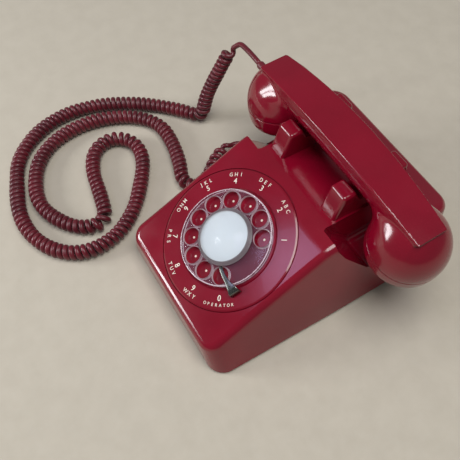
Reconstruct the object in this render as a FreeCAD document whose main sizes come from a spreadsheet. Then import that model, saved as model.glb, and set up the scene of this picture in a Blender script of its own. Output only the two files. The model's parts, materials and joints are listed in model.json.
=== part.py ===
import FreeCAD, Part
import math
import os

import Sketcher

from FreeCAD import Placement, Rotation, Vector

# A desk telephone with a rotary dial, drawn at real size in millimetres.
# +Z is up, the dial faces -Y, the table is z = 0 and the origin is the centre of the phone's footprint.
# The housing stands slightly left of the origin because the handset lies slightly to the right.

PARTS_FOLDER = "parts"
DIMENSIONS = {
    # housing
    "centre_x": -5, "front_y": -107, "rear_y": 107, "shell_bottom_z": 3, "wall": 2.8,
    "front_foot_half": 73, "middle_foot_half": 76.5, "rear_foot_half": 78,
    "front_top_half": 62, "middle_top_half": 61, "rear_top_half": 73,
    "deck_top_half": 72, "front_top_z": 29, "crest_y": 2, "crest_z": 81, "deck_y": 85, "deck_z": 75,
    "rear_top_z": 65, "edge_radius": 6.5, "corner_radius": 14, "crest_radius": 36, "plate_corner": 16,
    # cradle
    "cradle_half": 43, "well_floor_z": 40, "well_front_y": 4.5, "well_bend_y": 11.5,
    "well_bend_z": 64.5, "well_foot_y": 31, "well_rear_y": 81,
    "ear_inner_x": 25, "ear_outer_x": 41.5, "saddle_z": 92.3, "ear_tip_z": 102,
    "front_ear_foot_y": 12, "front_ear_tip_y": 23, "front_ear_back_y": 33.5,
    "rear_ear_front_y": 65.5, "rear_ear_tip_y": 80, "rear_ear_foot_y": 83,
    # dial, in a frame on the finger wheel's face: up the face is +Y and out of it is +Z
    "dial_y": -52, "dial_z": 60.8, "dial_tilt": 25.5, "dial_opening_radius": 52,
    "ring_radius": 56.1, "ring_depth": 4.2, "plate_depth": 5.6, "wheel_radius": 38.1, "wheel_thick": 3,
    "hole_circle_radius": 29.6, "finger_hole_radius": 6.7, "first_hole_clock": 42.8,
    "card_radius": 19.6, "retainer_radius": 22.4, "shaft_radius": 3,
    "gear_module": 0.8, "drive_teeth": 60, "pulse_teeth": 15, "pulse_wheel_teeth": 40, "governor_teeth": 10,
    # handset
    "handset_y": 49.5, "handset_top_z": 122, "arch_radius": 437, "cup_x": 79.5, "cup_radius": 30,
    "cup_rim_z": 80, "cup_tilt": 12, "dome_height": 33.5, "cap_thick": 18.5,
    # cord
    "coil_diameter": 14, "wire_diameter": 4.6,
}

# housing: cutting tools reach past the surfaces that they cut
ROOF_SPARE = 6
OVERHANG = 1
CORNER_BEVEL = 9
WELL_REACH = 60
WELL_ROUNDING = 5
WELL_LIP_DROP = 5
EAR_ROUNDING = 2.6
EAR_ROOT_DEPTH = 3
SADDLE_RUN = 5
GRIP_HALF = 38
GRIP_LOW_Z = 42
GRIP_HIGH_Z = 58
GRIP_FRONT_Y = 86
RING_SEAT_DEPTH = 6.4
RING_GAP = 0.4
DIAL_CUT_ABOVE = 20
DIAL_CUT_BELOW = 22
SIDE_HOLE_DEPTH = 16

# base plate, feet, grommets and the ringer's volume wheel
PLATE_LOW_Z = 3.2
PLATE_THICK = 1.4
PLATE_TOP_Z = PLATE_LOW_Z + PLATE_THICK
PLATE_GAP = 1.2
WHEEL_X = 56
WHEEL_Y = 30
WHEEL_Z = 12.5
VOLUME_RADIUS = 11
VOLUME_THICK = 5
AXLE_RADIUS = 2
BEARING_GAP = 0.05
NOTCH_COUNT = 18
NOTCH_RADIUS = 1.2
LUG_HALF = 4
LUG_THICK = 2
FOOT_RADIUS = 8
FOOT_PLACES = ((-56, -86), (56, -86), (-62, 88), (62, 88))
SCREW_PLACES = ((-60, 66), (60, 66), (0, -98))
SCREW_HEAD_RADIUS = 3.2
SCREW_HEAD_THICK = 1.6
CORD_ENTRY_Y = 31
CORD_ENTRY_Z = 9.5
GROMMET_BODY_RADIUS = 4.4
GROMMET_TIP_X = -92
LINE_X = 25
LINE_Z = 12
LINE_GROMMET_RADIUS = 6
LINE_HOLE_RADIUS = 3.6

# dial, with heights measured from the finger wheel's face
COUNT_OF_HOLES = 10
HOLE_PITCH_DEG = 30
HOLE_BEVEL = 0.9
SHAFT_HOLE = 3.3
SHAFT_LOW = -30
CHASSIS_LOW = -14
CHASSIS_HIGH = -12
CHASSIS_RADIUS = 44
POST_CLOCKS = (10, 130, 250)
POST_CIRCLE = 34
POST_RADIUS = 2.5
PINION_RADIUS = 1.5
PINION_LOW = -24
STOP_LIFT = 0.9
STOP_THICK = 1.0
PULSE_PLACE = (-30.15, 0)
GOVERNOR_PLACE = (-30.15, 20.15)
TOOTH_TIP = 0.75
TOOTH_ROOT = 1.1
TOOTH_SHARES = (-0.29, -0.11, 0.11, 0.29)
SPRING_INNER = 4.2
SPRING_OUTER = 10.5
SPRING_STEP = 1.8
SPRING_STRIP = 0.5
SPRING_LOW = -29.5
SPRING_HIGH = -25.5
STRAP_X = 47
STRAP_THICK = 2
STRAP_FRONT_Y = -66
STRAP_WIDE = 30
STRAP_TALL = 33

# ringer, network block and hook switch
RINGER_Z = 20
RINGER_FRONT_Y = 22
COIL_X = 11.5
COIL_RADIUS = 8.2
CHEEK_RADIUS = 9.6
CHEEK_THICK = 1.6
CHEEK_PLACES = (24, 40.2)
CORE_RADIUS = 3.2
PIVOT_Y = 47
PIVOT_RADIUS = 1.5
HAMMER_Y = 75
HAMMER_RADIUS = 3.1
GONG_X = 28
GONG_Y = 74
GONG_RADIUS = 22
GONG_SEAT_Z = 24.6
GONG_TOP_Z = 26
NETWORK_TALL = 19.5
TERMINAL_COLUMNS = 6
TERMINAL_PITCH = 10
TERMINAL_ROWS_Y = (-24, 6)
HOOK_Y = 20
HOOK_Z = 58
UPRIGHT_X = 38
UPRIGHT_THICK = 1.6
HOOK_FRAME_Y = 14
LEAF_COUNT = 4
LEAF_PITCH = 5.6
PLUNGER_X = 33
PLUNGER_RADIUS = 3.5
PLUNGER_GAP = 0.08
PLUNGER_HOLE_FLOOR_Z = 68
PLUNGER_LOW_Z = HOOK_Z + 1.3
PLUNGER_HIGH_Z = 93.1

# handset
HANDLE_SWEEP_DEG = 25
HANDLE_DROP = ((15.5, 0), (17.5, 10.5), (12.2, 23), (8, 26.5))
CHAMBER_RADIUS = 25
CHAMBER_DEPTH = 14
CAP_FLOOR = 5
SOUND_HOLE_RADIUS = 1.1
BUSHING_TIP_X = -110.6
BUSHING_Y = 46
BUSHING_Z = 97
BUSHING_RADIUS = 3.4
BUSHING_SOCKET = 18

# handset cord: the points that its runs go between
RUN_SHARE = 0.45
COIL_ROUTE = (
    (-147, 46, 93), (-150, 38, 80), (-153, 31, 64), (-157, 24, 47), (-160, 17, 29), (-159, 10, 7),
    (-177, -2, 7), (-198, -22, 7), (-217, -47, 7), (-231, -77, 7), (-234, -108, 7), (-225, -136, 7),
    (-206, -159, 7), (-177, -171, 7), (-148, -180, 7), (-119, -178, 7), (-94, -164, 7), (-81, -141, 7),
    (-84, -114, 7), (-100, -91, 7), (-123, -73, 7), (-146, -59, 7), (-168, -58, 7), (-183, -73, 7),
    (-179, -94, 7), (-157, -106, 7), (-131, -110, 7), (-101, -117, 7), (-106, -139, 7), (-127, -154, 7),
    (-151, -161, 7), (-176, -154, 7), (-197, -141, 7), (-210, -119, 7), (-213, -93, 7), (-208, -67, 7),
    (-194, -43, 7), (-173, -28, 7), (-148, -28, 7), (-122, -34, 7), (-104, -42, 7), (-90, -36, 7),
    (-94, -20, 7), (-106, -7, 7), (-113, 6, 7), (-115, 18, 7))
LEAD_ROUTE = ((-110.9, 46, 97), (-121.5, 46, 97.4), (-133.2, 46.3, 96), (-144, 46.5, 93.5))
TAIL_ROUTE = ((-115, 18, 7), (-111, 25, 7.6), (-102, 30, 8.8), (-92, 31, 9.5))

doc = FreeCAD.newDocument("rotary_telephone")
sheet = doc.addObject("Spreadsheet::Sheet", "Dimensions")
for row, (alias, value) in enumerate(DIMENSIONS.items(), 1):
    sheet.set(f"A{row}", alias)
    sheet.set(f"B{row}", str(value))
    sheet.setAlias(f"B{row}", alias)
doc.recompute()


class Size:
    """A length that knows both its number and the sheet expression it comes from."""

    def __init__(self, number, text):
        self.number = float(number)
        self.text = text

    def __neg__(self):
        return Size(-self.number, f"(-{self.text})")

    def __add__(self, other):
        other = as_size(other)
        return Size(self.number + other.number, f"({self.text} + {other.text})")

    def __sub__(self, other):
        other = as_size(other)
        return Size(self.number - other.number, f"({self.text} - {other.text})")

    def __mul__(self, factor):
        factor = as_size(factor)
        return Size(self.number * factor.number, f"({self.text} * {factor.text})")

    def __truediv__(self, divisor):
        divisor = as_size(divisor)
        return Size(self.number / divisor.number, f"({self.text} / {divisor.text})")

    def __radd__(self, other):
        return as_size(other) + self

    def __rsub__(self, other):
        return as_size(other) - self

    def __rmul__(self, other):
        return as_size(other) * self


def as_size(value):
    if isinstance(value, Size):
        return value
    return Size(value, f"({float(value)!r})")


def dim(alias):
    """The sheet's cell of that name."""
    return Size(sheet.get(alias), f"Dimensions.{alias}")


def bind(obj, prop, value):
    """Set a property from a Size and keep it tied to the sheet."""
    obj.setExpression(prop, as_size(value).text)


CX = dim("centre_x")
DIAL_ROTATION = Rotation(Vector(1, 0, 0), dim("dial_tilt").number)
ALONG_X = Rotation(Vector(0, 1, 0), 90)
ALONG_Y = Rotation(Vector(1, 0, 0), -90)
TOUCH = 1e-3
WIDE = 90
SUBPARTS = []


def subpart(obj, label):
    """Name a finished sub-part; its label is the node's and the file's name."""
    obj.Label = label
    SUBPARTS.append(obj)
    return obj


def set_place(obj, x=0, y=0, z=0, rotation=None):
    """Place an object with its position tied to the sheet."""
    obj.Placement = Placement(Vector(0, 0, 0), rotation or Rotation())
    bind(obj, "Placement.Base.x", x)
    bind(obj, "Placement.Base.y", y)
    bind(obj, "Placement.Base.z", z)
    return obj


# ---------------------------------------------------------------- primitives and booleans

def box(name, x, y, z, length, width, height):
    """A block from its lowest corner and its sizes along X, Y and Z."""
    obj = doc.addObject("Part::Box", name)
    bind(obj, "Length", length)
    bind(obj, "Width", width)
    bind(obj, "Height", height)
    return set_place(obj, x, y, z)


def cylinder(name, x, y, z, radius, height, rotation=None):
    obj = doc.addObject("Part::Cylinder", name)
    bind(obj, "Radius", radius)
    bind(obj, "Height", height)
    return set_place(obj, x, y, z, rotation)


def cut(name, base, tool):
    obj = doc.addObject("Part::Cut", name)
    obj.Base = base
    obj.Tool = tool
    return obj


def fuse(name, shapes):
    obj = doc.addObject("Part::MultiFuse", name)
    obj.Shapes = shapes
    obj.Refine = True
    return obj


def group(name, shapes):
    """Several separate solids in one node."""
    obj = doc.addObject("Part::Compound", name)
    obj.Links = shapes
    return obj


# ---------------------------------------------------------------- bodies and sketches

def new_body(label):
    body = doc.addObject("PartDesign::Body", "Body_" + label)
    return subpart(body, label)


def origin_plane(body, role):
    return next(item for item in body.Origin.OriginFeatures if item.Role == role)


def sketch_on(body, role, name, offset=0):
    sketch = body.newObject("Sketcher::SketchObject", name)
    sketch.AttachmentSupport = [(origin_plane(body, role), "")]
    sketch.MapMode = "FlatFace"
    bind(sketch, "AttachmentOffset.Base.z", offset)
    return sketch


def pin_point(sketch, geometry, vertex, x, y):
    """Tie one sketch vertex to the sheet through its two distances from the origin."""
    for kind, value, axis in (("DistanceX", as_size(x), -2), ("DistanceY", as_size(y), -1)):
        if abs(value.number) < 1e-9:
            sketch.addConstraint(Sketcher.Constraint("PointOnObject", geometry, vertex, axis))
        else:
            number = sketch.addConstraint(Sketcher.Constraint(kind, -1, 1, geometry, vertex, value.number))
            sketch.setExpression(f"Constraints[{number}]", value.text)


def draw_polygon(sketch, points):
    corners = [Vector(as_size(x).number, as_size(y).number, 0) for x, y in points]
    first = sketch.GeometryCount
    for start, end in zip(corners, corners[1:] + corners[:1]):
        sketch.addGeometry(Part.LineSegment(start, end), False)
    count = len(corners)
    for index in range(count):
        following = first + (index + 1) % count
        sketch.addConstraint(Sketcher.Constraint("Coincident", first + index, 2, following, 1))
    for index, (x, y) in enumerate(points):
        pin_point(sketch, first + index, 1, x, y)


def draw_circle(sketch, x, y, radius):
    x, y, radius = as_size(x), as_size(y), as_size(radius)
    centre = Vector(x.number, y.number, 0)
    index = sketch.addGeometry(Part.Circle(centre, Vector(0, 0, 1), radius.number), False)
    pin_point(sketch, index, 3, x, y)
    number = sketch.addConstraint(Sketcher.Constraint("Radius", index, radius.number))
    sketch.setExpression(f"Constraints[{number}]", radius.text)


def rectangle(low_x, high_x, low_y, high_y):
    return [(low_x, low_y), (high_x, low_y), (high_x, high_y), (low_x, high_y)]


def pad(body, sketch, length, reverse=False):
    feature = body.newObject("PartDesign::Pad", "Pad")
    feature.Profile = (sketch, [""])
    feature.Reversed = reverse
    bind(feature, "Length", length)
    return feature


def pocket(body, sketch, length, reverse=False):
    """Cut a sketch's outline out of a body; a cut that removes nothing is an error."""
    doc.recompute()
    before = body.Shape.Volume
    feature = body.newObject("PartDesign::Pocket", "Pocket")
    feature.Profile = (sketch, [""])
    feature.Reversed = reverse
    bind(feature, "Length", length)
    doc.recompute()
    if body.Shape.Volume > before - 1e-3:
        raise RuntimeError(f"{body.Label}: {feature.Name} cuts nothing")
    return feature


def revolve(body, points, angle=360, midplane=False, name="Profile"):
    """A turned piece: the outline holds radius and height, and turns about Z."""
    sketch = sketch_on(body, "XZ_Plane", name)
    draw_polygon(sketch, points)
    feature = body.newObject("PartDesign::Revolution", "Turned")
    feature.Profile = (sketch, [""])
    feature.ReferenceAxis = (sketch, ["V_Axis"])
    feature.Angle = angle
    feature.Midplane = midplane
    return feature


def round_pattern(body, feature, count, span=360):
    """Repeat a feature about the body's Z axis."""
    pattern = body.newObject("PartDesign::PolarPattern", "Ring")
    pattern.Originals = [feature]
    pattern.Axis = (origin_plane(body, "Z_Axis"), [""])
    pattern.Angle = span
    pattern.Occurrences = count
    body.Tip = pattern
    return pattern


def edges_where(shape, test):
    return [f"Edge{index}" for index, edge in enumerate(shape.Edges, 1) if test(edge)]


def soften(body, radius, test, kind="Fillet"):
    """Round or bevel the edges of the body's tip that pass the test."""
    doc.recompute()
    tip = body.Tip
    names = edges_where(tip.Shape, test)
    if not names:
        raise RuntimeError(f"{body.Label}: no edge to soften")
    feature = body.newObject("PartDesign::" + kind, kind)
    feature.Base = (tip, names)
    bind(feature, "Radius" if kind == "Fillet" else "Size", radius)
    doc.recompute()
    if "Invalid" in feature.State or not feature.Shape.isValid():
        raise RuntimeError(f"{body.Label}: the {kind.lower()} of {radius} failed")
    return feature


def runs_along(edge, axis):
    """True for a straight edge parallel to one of the axes 0, 1 or 2."""
    spans = (edge.BoundBox.XLength, edge.BoundBox.YLength, edge.BoundBox.ZLength)
    return all(span < 1e-4 for index, span in enumerate(spans) if index != axis)


# ---------------------------------------------------------------- housing and base

def housing_section(body, name, y, foot_half, top_half, bottom, top):
    """One four-sided cross-section of the housing at a given y."""
    sketch = sketch_on(body, "XZ_Plane", name, -y)
    draw_polygon(sketch, [(-foot_half, bottom), (foot_half, bottom), (top_half, top), (-top_half, top)])
    return sketch


def loft(body, kind, sections):
    feature = body.newObject("PartDesign::" + kind, kind)
    feature.Profile = (sections[0], [""])
    feature.Sections = [(section, [""]) for section in sections[1:]]
    feature.Ruled = True
    return feature


def side_sketch(body, name, x, points):
    """A sketch seen from the side: its points hold y and z."""
    sketch = sketch_on(body, "YZ_Plane", name, x)
    draw_polygon(sketch, points)
    return sketch


def make_housing():
    """Moulded shell: a tall loft with its roof cut off, rounded, scooped for the handset and hollowed."""
    body = new_body("housing")
    set_place(body, CX)
    loft(body, "AdditiveLoft", [
        tall_section(body, "Rear", "rear_y", "rear_foot_half", "rear_top_half", "rear_top_z"),
        tall_section(body, "Deck", "deck_y", "rear_foot_half", "deck_top_half", "deck_z"),
        tall_section(body, "Crest", "crest_y", "middle_foot_half", "middle_top_half", "crest_z"),
        tall_section(body, "Front", "front_y", "front_foot_half", "front_top_half", "front_top_z")])
    cut_roof(body)
    soften(body, dim("corner_radius"), is_upright_corner)
    soften(body, dim("crest_radius"), is_crest)
    soften(body, dim("edge_radius"), is_roof_edge)
    cut_wells(body)
    add_cradle(body)
    hollow_out(body)
    cut_housing_holes(body)
    return body


def tall_section(body, name, y, foot_half, top_half, top_z):
    """A cross-section whose leaning sides run on to a little above the roof."""
    bottom = dim("shell_bottom_z")
    lean = (dim(foot_half) - dim(top_half)) / (dim(top_z) - bottom)
    return housing_section(body, name, dim(y), dim(foot_half), dim(top_half) - lean * ROOF_SPARE,
                           bottom, dim(top_z) + ROOF_SPARE)


def cut_roof(body):
    """The sloping face, the crest and the deck, cut across the whole width in one side view."""
    above = dim("crest_z") + 2 * ROOF_SPARE
    front_slope = (dim("crest_z") - dim("front_top_z")) / (dim("crest_y") - dim("front_y"))
    rear_slope = (dim("deck_z") - dim("rear_top_z")) / (dim("rear_y") - dim("deck_y"))
    front = dim("front_y") - OVERHANG
    rear = dim("rear_y") + OVERHANG
    outline = [(front, dim("front_top_z") - front_slope * OVERHANG), (dim("crest_y"), dim("crest_z")),
               (dim("deck_y"), dim("deck_z")), (rear, dim("rear_top_z") - rear_slope * OVERHANG),
               (rear, above), (front, above)]
    half = dim("rear_foot_half") + OVERHANG
    pocket(body, side_sketch(body, "Roof", -half, outline), half * 2, True)


def is_at_end(span):
    """True for a box that lies in the housing's front or rear face."""
    return abs(abs(span.YMin) - dim("rear_y").number) < TOUCH and span.YLength < TOUCH


def is_upright_corner(edge):
    return is_at_end(edge.BoundBox) and edge.BoundBox.ZLength > 10


def is_crest(edge):
    """The line across the housing where the sloping face meets the deck."""
    span = edge.BoundBox
    return span.XLength > WIDE and span.ZMin > dim("crest_z").number - TOUCH


def is_roof_edge(edge):
    """The outline of the roof, without the lines that cross it."""
    span = edge.BoundBox
    crosses = span.XLength > WIDE and not is_at_end(span)
    return span.ZMin > dim("front_top_z").number - 1 and not crosses


def cut_wells(body):
    """The scoop on each side of the cradle where a handset cup hangs."""
    above = dim("crest_z") + 10
    outline = [(dim("well_front_y"), above), (dim("well_front_y") + 1, dim("crest_z") - WELL_LIP_DROP),
               (dim("well_bend_y"), dim("well_bend_z")), (dim("well_foot_y"), dim("well_floor_z")),
               (dim("well_rear_y"), dim("well_floor_z")), (dim("well_rear_y") + 3, above)]
    side = dim("cradle_half")
    pocket(body, side_sketch(body, "WellRight", side, outline), WELL_REACH, True)
    pocket(body, side_sketch(body, "WellLeft", -side, outline), WELL_REACH)
    soften(body, WELL_ROUNDING, is_well_corner)


def is_well_corner(edge):
    """Inner corners of the wells, where floor, ends and cradle side meet."""
    span = edge.BoundBox
    side = dim("cradle_half").number
    floor = dim("well_floor_z").number
    beside_cradle = abs(abs(span.XMin) - side) < 1e-3 and span.XLength < 1e-3
    across_floor = abs(span.ZMin - floor) < 1e-3 and span.ZLength < 1e-3 and runs_along(edge, 0)
    inside = dim("well_front_y").number - 1 < span.YMin and span.YMax < dim("deck_y").number
    return inside and (beside_cradle or across_floor) and span.ZMin < dim("crest_z").number - 12


def add_cradle(body):
    """Left and right cradle arms: a saddle for the handle between a front ear and a rear ear."""
    tip = dim("ear_tip_z")
    saddle = dim("saddle_z")
    foot = dim("deck_z") - EAR_ROOT_DEPTH
    profile = [(dim("front_ear_foot_y"), foot), (dim("front_ear_tip_y"), tip),
               (dim("front_ear_back_y"), tip), (dim("front_ear_back_y") + SADDLE_RUN, saddle),
               (dim("rear_ear_front_y") - SADDLE_RUN, saddle), (dim("rear_ear_front_y"), tip + 1),
               (dim("rear_ear_tip_y"), tip + 1), (dim("rear_ear_foot_y"), foot)]
    width = dim("ear_outer_x") - dim("ear_inner_x")
    pad(body, side_sketch(body, "ArmRight", dim("ear_inner_x"), profile), width)
    pad(body, side_sketch(body, "ArmLeft", -dim("ear_inner_x"), profile), width, True)
    soften(body, EAR_ROUNDING, is_ear_edge)


def is_ear_edge(edge):
    """Edges round the tips of the four ears and down their outer slopes."""
    span = edge.BoundBox
    above_saddle = span.ZMax > dim("ear_tip_z").number - 0.5
    slope = span.ZLength > 5 and span.ZMax > dim("ear_tip_z").number - 0.5
    return above_saddle or slope


def hollow_out(body):
    """The space inside the moulded shell, in blocks that follow its outside at one wall's distance."""
    wall = dim("wall")
    bottom = dim("shell_bottom_z") - 1
    under_wells = dim("well_floor_z") - wall
    slope = (dim("crest_z") - dim("front_top_z")) / (dim("crest_y") - dim("front_y"))
    front_foot = dim("front_foot_half") - wall - 0.5
    front_top = dim("front_top_half") - wall - 1
    front_roof = dim("front_top_z") - wall + 1
    inner_front = dim("front_y") + wall
    loft(body, "SubtractiveLoft", [
        housing_section(body, "InnerCrest", dim("crest_y") - 2, dim("middle_foot_half") - wall - 0.5,
                        dim("middle_top_half") - wall, bottom, dim("crest_z") - wall - 2),
        housing_section(body, "InnerBend", inner_front + CORNER_BEVEL, front_foot, front_top,
                        bottom, front_roof + slope * CORNER_BEVEL),
        housing_section(body, "InnerFront", inner_front, front_foot - CORNER_BEVEL, front_top - CORNER_BEVEL,
                        bottom, front_roof)])
    body.Tip = body.Group[-1]
    front = dim("crest_y") - 3
    inner_rear = dim("rear_y") - wall
    rear_foot = dim("rear_foot_half") - wall - 0.5
    rear_top = dim("rear_top_half") - wall + 1
    loft(body, "SubtractiveLoft", [
        housing_section(body, "UnderWellsRear", inner_rear, rear_foot - CORNER_BEVEL,
                        rear_top - CORNER_BEVEL, bottom, under_wells),
        housing_section(body, "UnderWellsBend", inner_rear - CORNER_BEVEL, rear_foot, rear_top,
                        bottom, under_wells),
        housing_section(body, "UnderWellsFront", front, dim("middle_foot_half") - wall - 0.5,
                        dim("middle_foot_half") - wall - 7, bottom, under_wells)])
    body.Tip = body.Group[-1]
    half = dim("cradle_half") - wall
    sketch = sketch_on(body, "XY_Plane", "UnderCradle", bottom)
    draw_polygon(sketch, rectangle(-half, half, front, GRIP_FRONT_Y - wall))
    pocket(body, sketch, dim("deck_z") - wall - bottom, True)


def tilted_sketch(body, name, depth):
    """A sketch in the dial's plane, at a depth below the finger wheel's face."""
    sketch = sketch_on(body, "XY_Plane", name)
    tilt = math.radians(dim("dial_tilt").number)
    place = Vector(0, dim("dial_y").number + depth * math.sin(tilt),
                   dim("dial_z").number - depth * math.cos(tilt))
    sketch.setExpression("AttachmentOffset.Base.z", None)
    sketch.AttachmentOffset = Placement(place, DIAL_ROTATION)
    return sketch


def cut_housing_holes(body):
    seat = tilted_sketch(body, "RingSeat", RING_SEAT_DEPTH)
    draw_circle(seat, 0, 0, dim("ring_radius") + RING_GAP)
    pocket(body, seat, DIAL_CUT_ABOVE, True)
    opening = tilted_sketch(body, "DialOpening", 0)
    draw_circle(opening, 0, 0, dim("dial_opening_radius"))
    pocket(body, opening, DIAL_CUT_BELOW)
    plungers = sketch_on(body, "XY_Plane", "PlungerHoles", dim("ear_tip_z"))
    for side in (-1, 1):
        draw_circle(plungers, side * PLUNGER_X, dim("handset_y"), PLUNGER_RADIUS + PLUNGER_GAP)
    pocket(body, plungers, dim("ear_tip_z") - PLUNGER_HOLE_FLOOR_Z)
    cord_side = sketch_on(body, "YZ_Plane", "CordHole", -(dim("rear_foot_half") + 2))
    draw_circle(cord_side, CORD_ENTRY_Y, CORD_ENTRY_Z, GROMMET_BODY_RADIUS)
    pocket(body, cord_side, SIDE_HOLE_DEPTH, True)
    line_side = sketch_on(body, "XZ_Plane", "LineHole", -(dim("rear_y") + OVERHANG))
    draw_circle(line_side, LINE_X, LINE_Z, LINE_GROMMET_RADIUS)
    pocket(body, line_side, SIDE_HOLE_DEPTH, True)
    grip = sketch_on(body, "XZ_Plane", "Grip", -(dim("rear_y") + OVERHANG))
    draw_polygon(grip, rectangle(-GRIP_HALF, GRIP_HALF, GRIP_LOW_Z, GRIP_HIGH_Z))
    pocket(body, grip, dim("rear_y") + OVERHANG - GRIP_FRONT_Y, True)


def make_base_plate():
    """Pressed steel plate that closes the housing underneath, with two lugs for the volume wheel's axle."""
    body = new_body("base_plate")
    set_place(body, CX, 0, PLATE_LOW_Z)
    inset = dim("wall") + PLATE_GAP
    front = dim("front_y") + inset
    rear = dim("rear_y") - inset
    front_half = dim("front_foot_half") - inset - 1
    rear_half = dim("rear_foot_half") - inset
    sketch = sketch_on(body, "XY_Plane", "Outline")
    draw_polygon(sketch, [(-front_half, front), (front_half, front), (rear_half, rear), (-rear_half, rear)])
    pad(body, sketch, PLATE_THICK)
    soften(body, dim("plate_corner"), lambda edge: runs_along(edge, 2))
    slot = sketch_on(body, "XY_Plane", "WheelSlot", PLATE_THICK)
    half_slot = VOLUME_THICK / 2 + 1
    draw_polygon(slot, rectangle(WHEEL_X - half_slot, WHEEL_X + half_slot, WHEEL_Y - 10, WHEEL_Y + 10))
    pocket(body, slot, PLATE_THICK)
    for index, side in enumerate((-1, 1)):
        inner = WHEEL_X + side * (VOLUME_THICK / 2 + 1.5)
        lug = side_sketch(body, f"Lug{index}", inner,
                          rectangle(WHEEL_Y - LUG_HALF, WHEEL_Y + LUG_HALF, PLATE_THICK / 2,
                                    WHEEL_Z - PLATE_LOW_Z + LUG_HALF))
        pad(body, lug, LUG_THICK, side < 0)
    bore = sketch_on(body, "YZ_Plane", "AxleBore", WHEEL_X - 12)
    draw_circle(bore, WHEEL_Y, WHEEL_Z - PLATE_LOW_Z, AXLE_RADIUS + BEARING_GAP)
    pocket(body, bore, 24, True)
    return body


def make_feet():
    feet = []
    for index, (x, y) in enumerate(FOOT_PLACES):
        cone = doc.addObject("Part::Cone", f"Foot{index}")
        bind(cone, "Radius1", FOOT_RADIUS - 1)
        bind(cone, "Radius2", FOOT_RADIUS)
        bind(cone, "Height", PLATE_LOW_Z)
        feet.append(set_place(cone, CX + x, y, 0))
    return subpart(group("Feet", feet), "rubber_feet")


def make_housing_screws():
    """Screws that hold the shell down, seen from below the plate."""
    screws = []
    for index, (x, y) in enumerate(SCREW_PLACES):
        head = cylinder(f"ScrewHead{index}", CX + x, y, PLATE_LOW_Z - SCREW_HEAD_THICK,
                        SCREW_HEAD_RADIUS, SCREW_HEAD_THICK)
        slot = box(f"ScrewSlot{index}", CX + (x - 4), y - 0.4, PLATE_LOW_Z - 1.7, 8, 0.8, 0.8)
        screws.append(cut(f"Screw{index}", head, slot))
    return subpart(group("Screws", screws), "housing_screws")


def turned(label, x, y, z, points, rotation=None):
    """A turned sub-part from its outline of radius and height."""
    body = new_body(label)
    set_place(body, x, y, z, rotation)
    revolve(body, points)
    return body


def make_line_grommet():
    """Rubber grommet in the rear wall, where a line cord would come in."""
    rear = dim("rear_y")
    outline = [(LINE_HOLE_RADIUS, 0), (LINE_GROMMET_RADIUS, 0), (LINE_GROMMET_RADIUS, 5),
               (LINE_GROMMET_RADIUS + 1, 5), (LINE_GROMMET_RADIUS + 1, 7), (LINE_HOLE_RADIUS, 7)]
    return turned("line_grommet", CX + LINE_X, rear - 0.2, LINE_Z, outline, Rotation(Vector(1, 0, 0), 90))


def make_cord_grommet():
    """Tapered rubber strain relief where the handset cord enters the housing's left side."""
    outline = [(0, 0), (3.1, 0), (4.3, 10), (4.3, 15.6), (4.8, 15.6), (4.8, 17.6), (0, 17.6)]
    return turned("cord_grommet", GROMMET_TIP_X, CORD_ENTRY_Y, CORD_ENTRY_Z, outline, ALONG_X)

# ---------------------------------------------------------------- dial

def at_dial(body, clock=0, radius=0):
    """Stand a body in the dial's frame, its Z out of the face, on a point of the clock face."""
    tilt = math.radians(dim("dial_tilt").number)
    angle = math.radians(clock)
    across = radius * math.sin(angle)
    up = radius * math.cos(angle)
    return set_place(body, CX + across, dim("dial_y") + up * math.cos(tilt),
                     dim("dial_z") + up * math.sin(tilt), DIAL_ROTATION)


def on_clock(radius, clock):
    """A point of the dial's face; the clock angle runs clockwise from the top, in degrees."""
    angle = math.radians(clock)
    return radius * math.sin(angle), radius * math.cos(angle)


def dial_turned(label, points, clock=0, radius=0):
    body = new_body(label)
    at_dial(body, clock, radius)
    revolve(body, points)
    return body


def make_number_ring():
    """Moulded disc that carries the digits, dished under the finger wheel."""
    ring = dim("ring_radius")
    high = -dim("ring_depth")
    dish = -dim("plate_depth")
    under = RING_SEAT_DEPTH - 0.1
    inner = dim("wheel_radius") + 0.6
    return dial_turned("number_ring", [
        (SHAFT_HOLE, dish), (inner, dish), (inner + 1.6, high), (ring - 1.6, high),
        (ring - 0.4, high - 0.6),
        (ring, high - 1.4), (ring, -under), (dim("dial_opening_radius") - 0.6, -under),
        (dim("dial_opening_radius") - 0.6, -under - 3), (dim("dial_opening_radius") - 2.4, -under - 3),
        (dim("dial_opening_radius") - 2.4, -under - 0.4), (inner + 1.6, -under - 0.4), (inner, dish - 2),
        (SHAFT_HOLE, dish - 2)])


def make_finger_wheel():
    """Clear wheel with ten finger holes."""
    body = new_body("finger_wheel")
    at_dial(body)
    radius = dim("wheel_radius")
    thick = dim("wheel_thick")
    revolve(body, [(0, -thick), (radius - 1, -thick), (radius, 0.6 - thick), (radius, -0.6),
                   (radius - 0.8, 0), (0, 0)])
    sketch = sketch_on(body, "XY_Plane", "FirstHole", 1)
    clock = math.radians(dim("first_hole_clock").number)
    circle = dim("hole_circle_radius")
    draw_circle(sketch, circle * math.sin(clock), circle * math.cos(clock), dim("finger_hole_radius"))
    hole = pocket(body, sketch, thick + 2)
    round_pattern(body, hole, COUNT_OF_HOLES, HOLE_PITCH_DEG * (COUNT_OF_HOLES - 1))
    soften(body, HOLE_BEVEL, is_hole_mouth, "Chamfer")
    return body


def is_hole_mouth(edge):
    """Upper rims of the finger holes."""
    if edge.Curve.TypeId != "Part::GeomCircle":
        return False
    is_hole = abs(edge.Curve.Radius - dim("finger_hole_radius").number) < TOUCH
    return is_hole and edge.BoundBox.ZMin > -TOUCH


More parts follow.
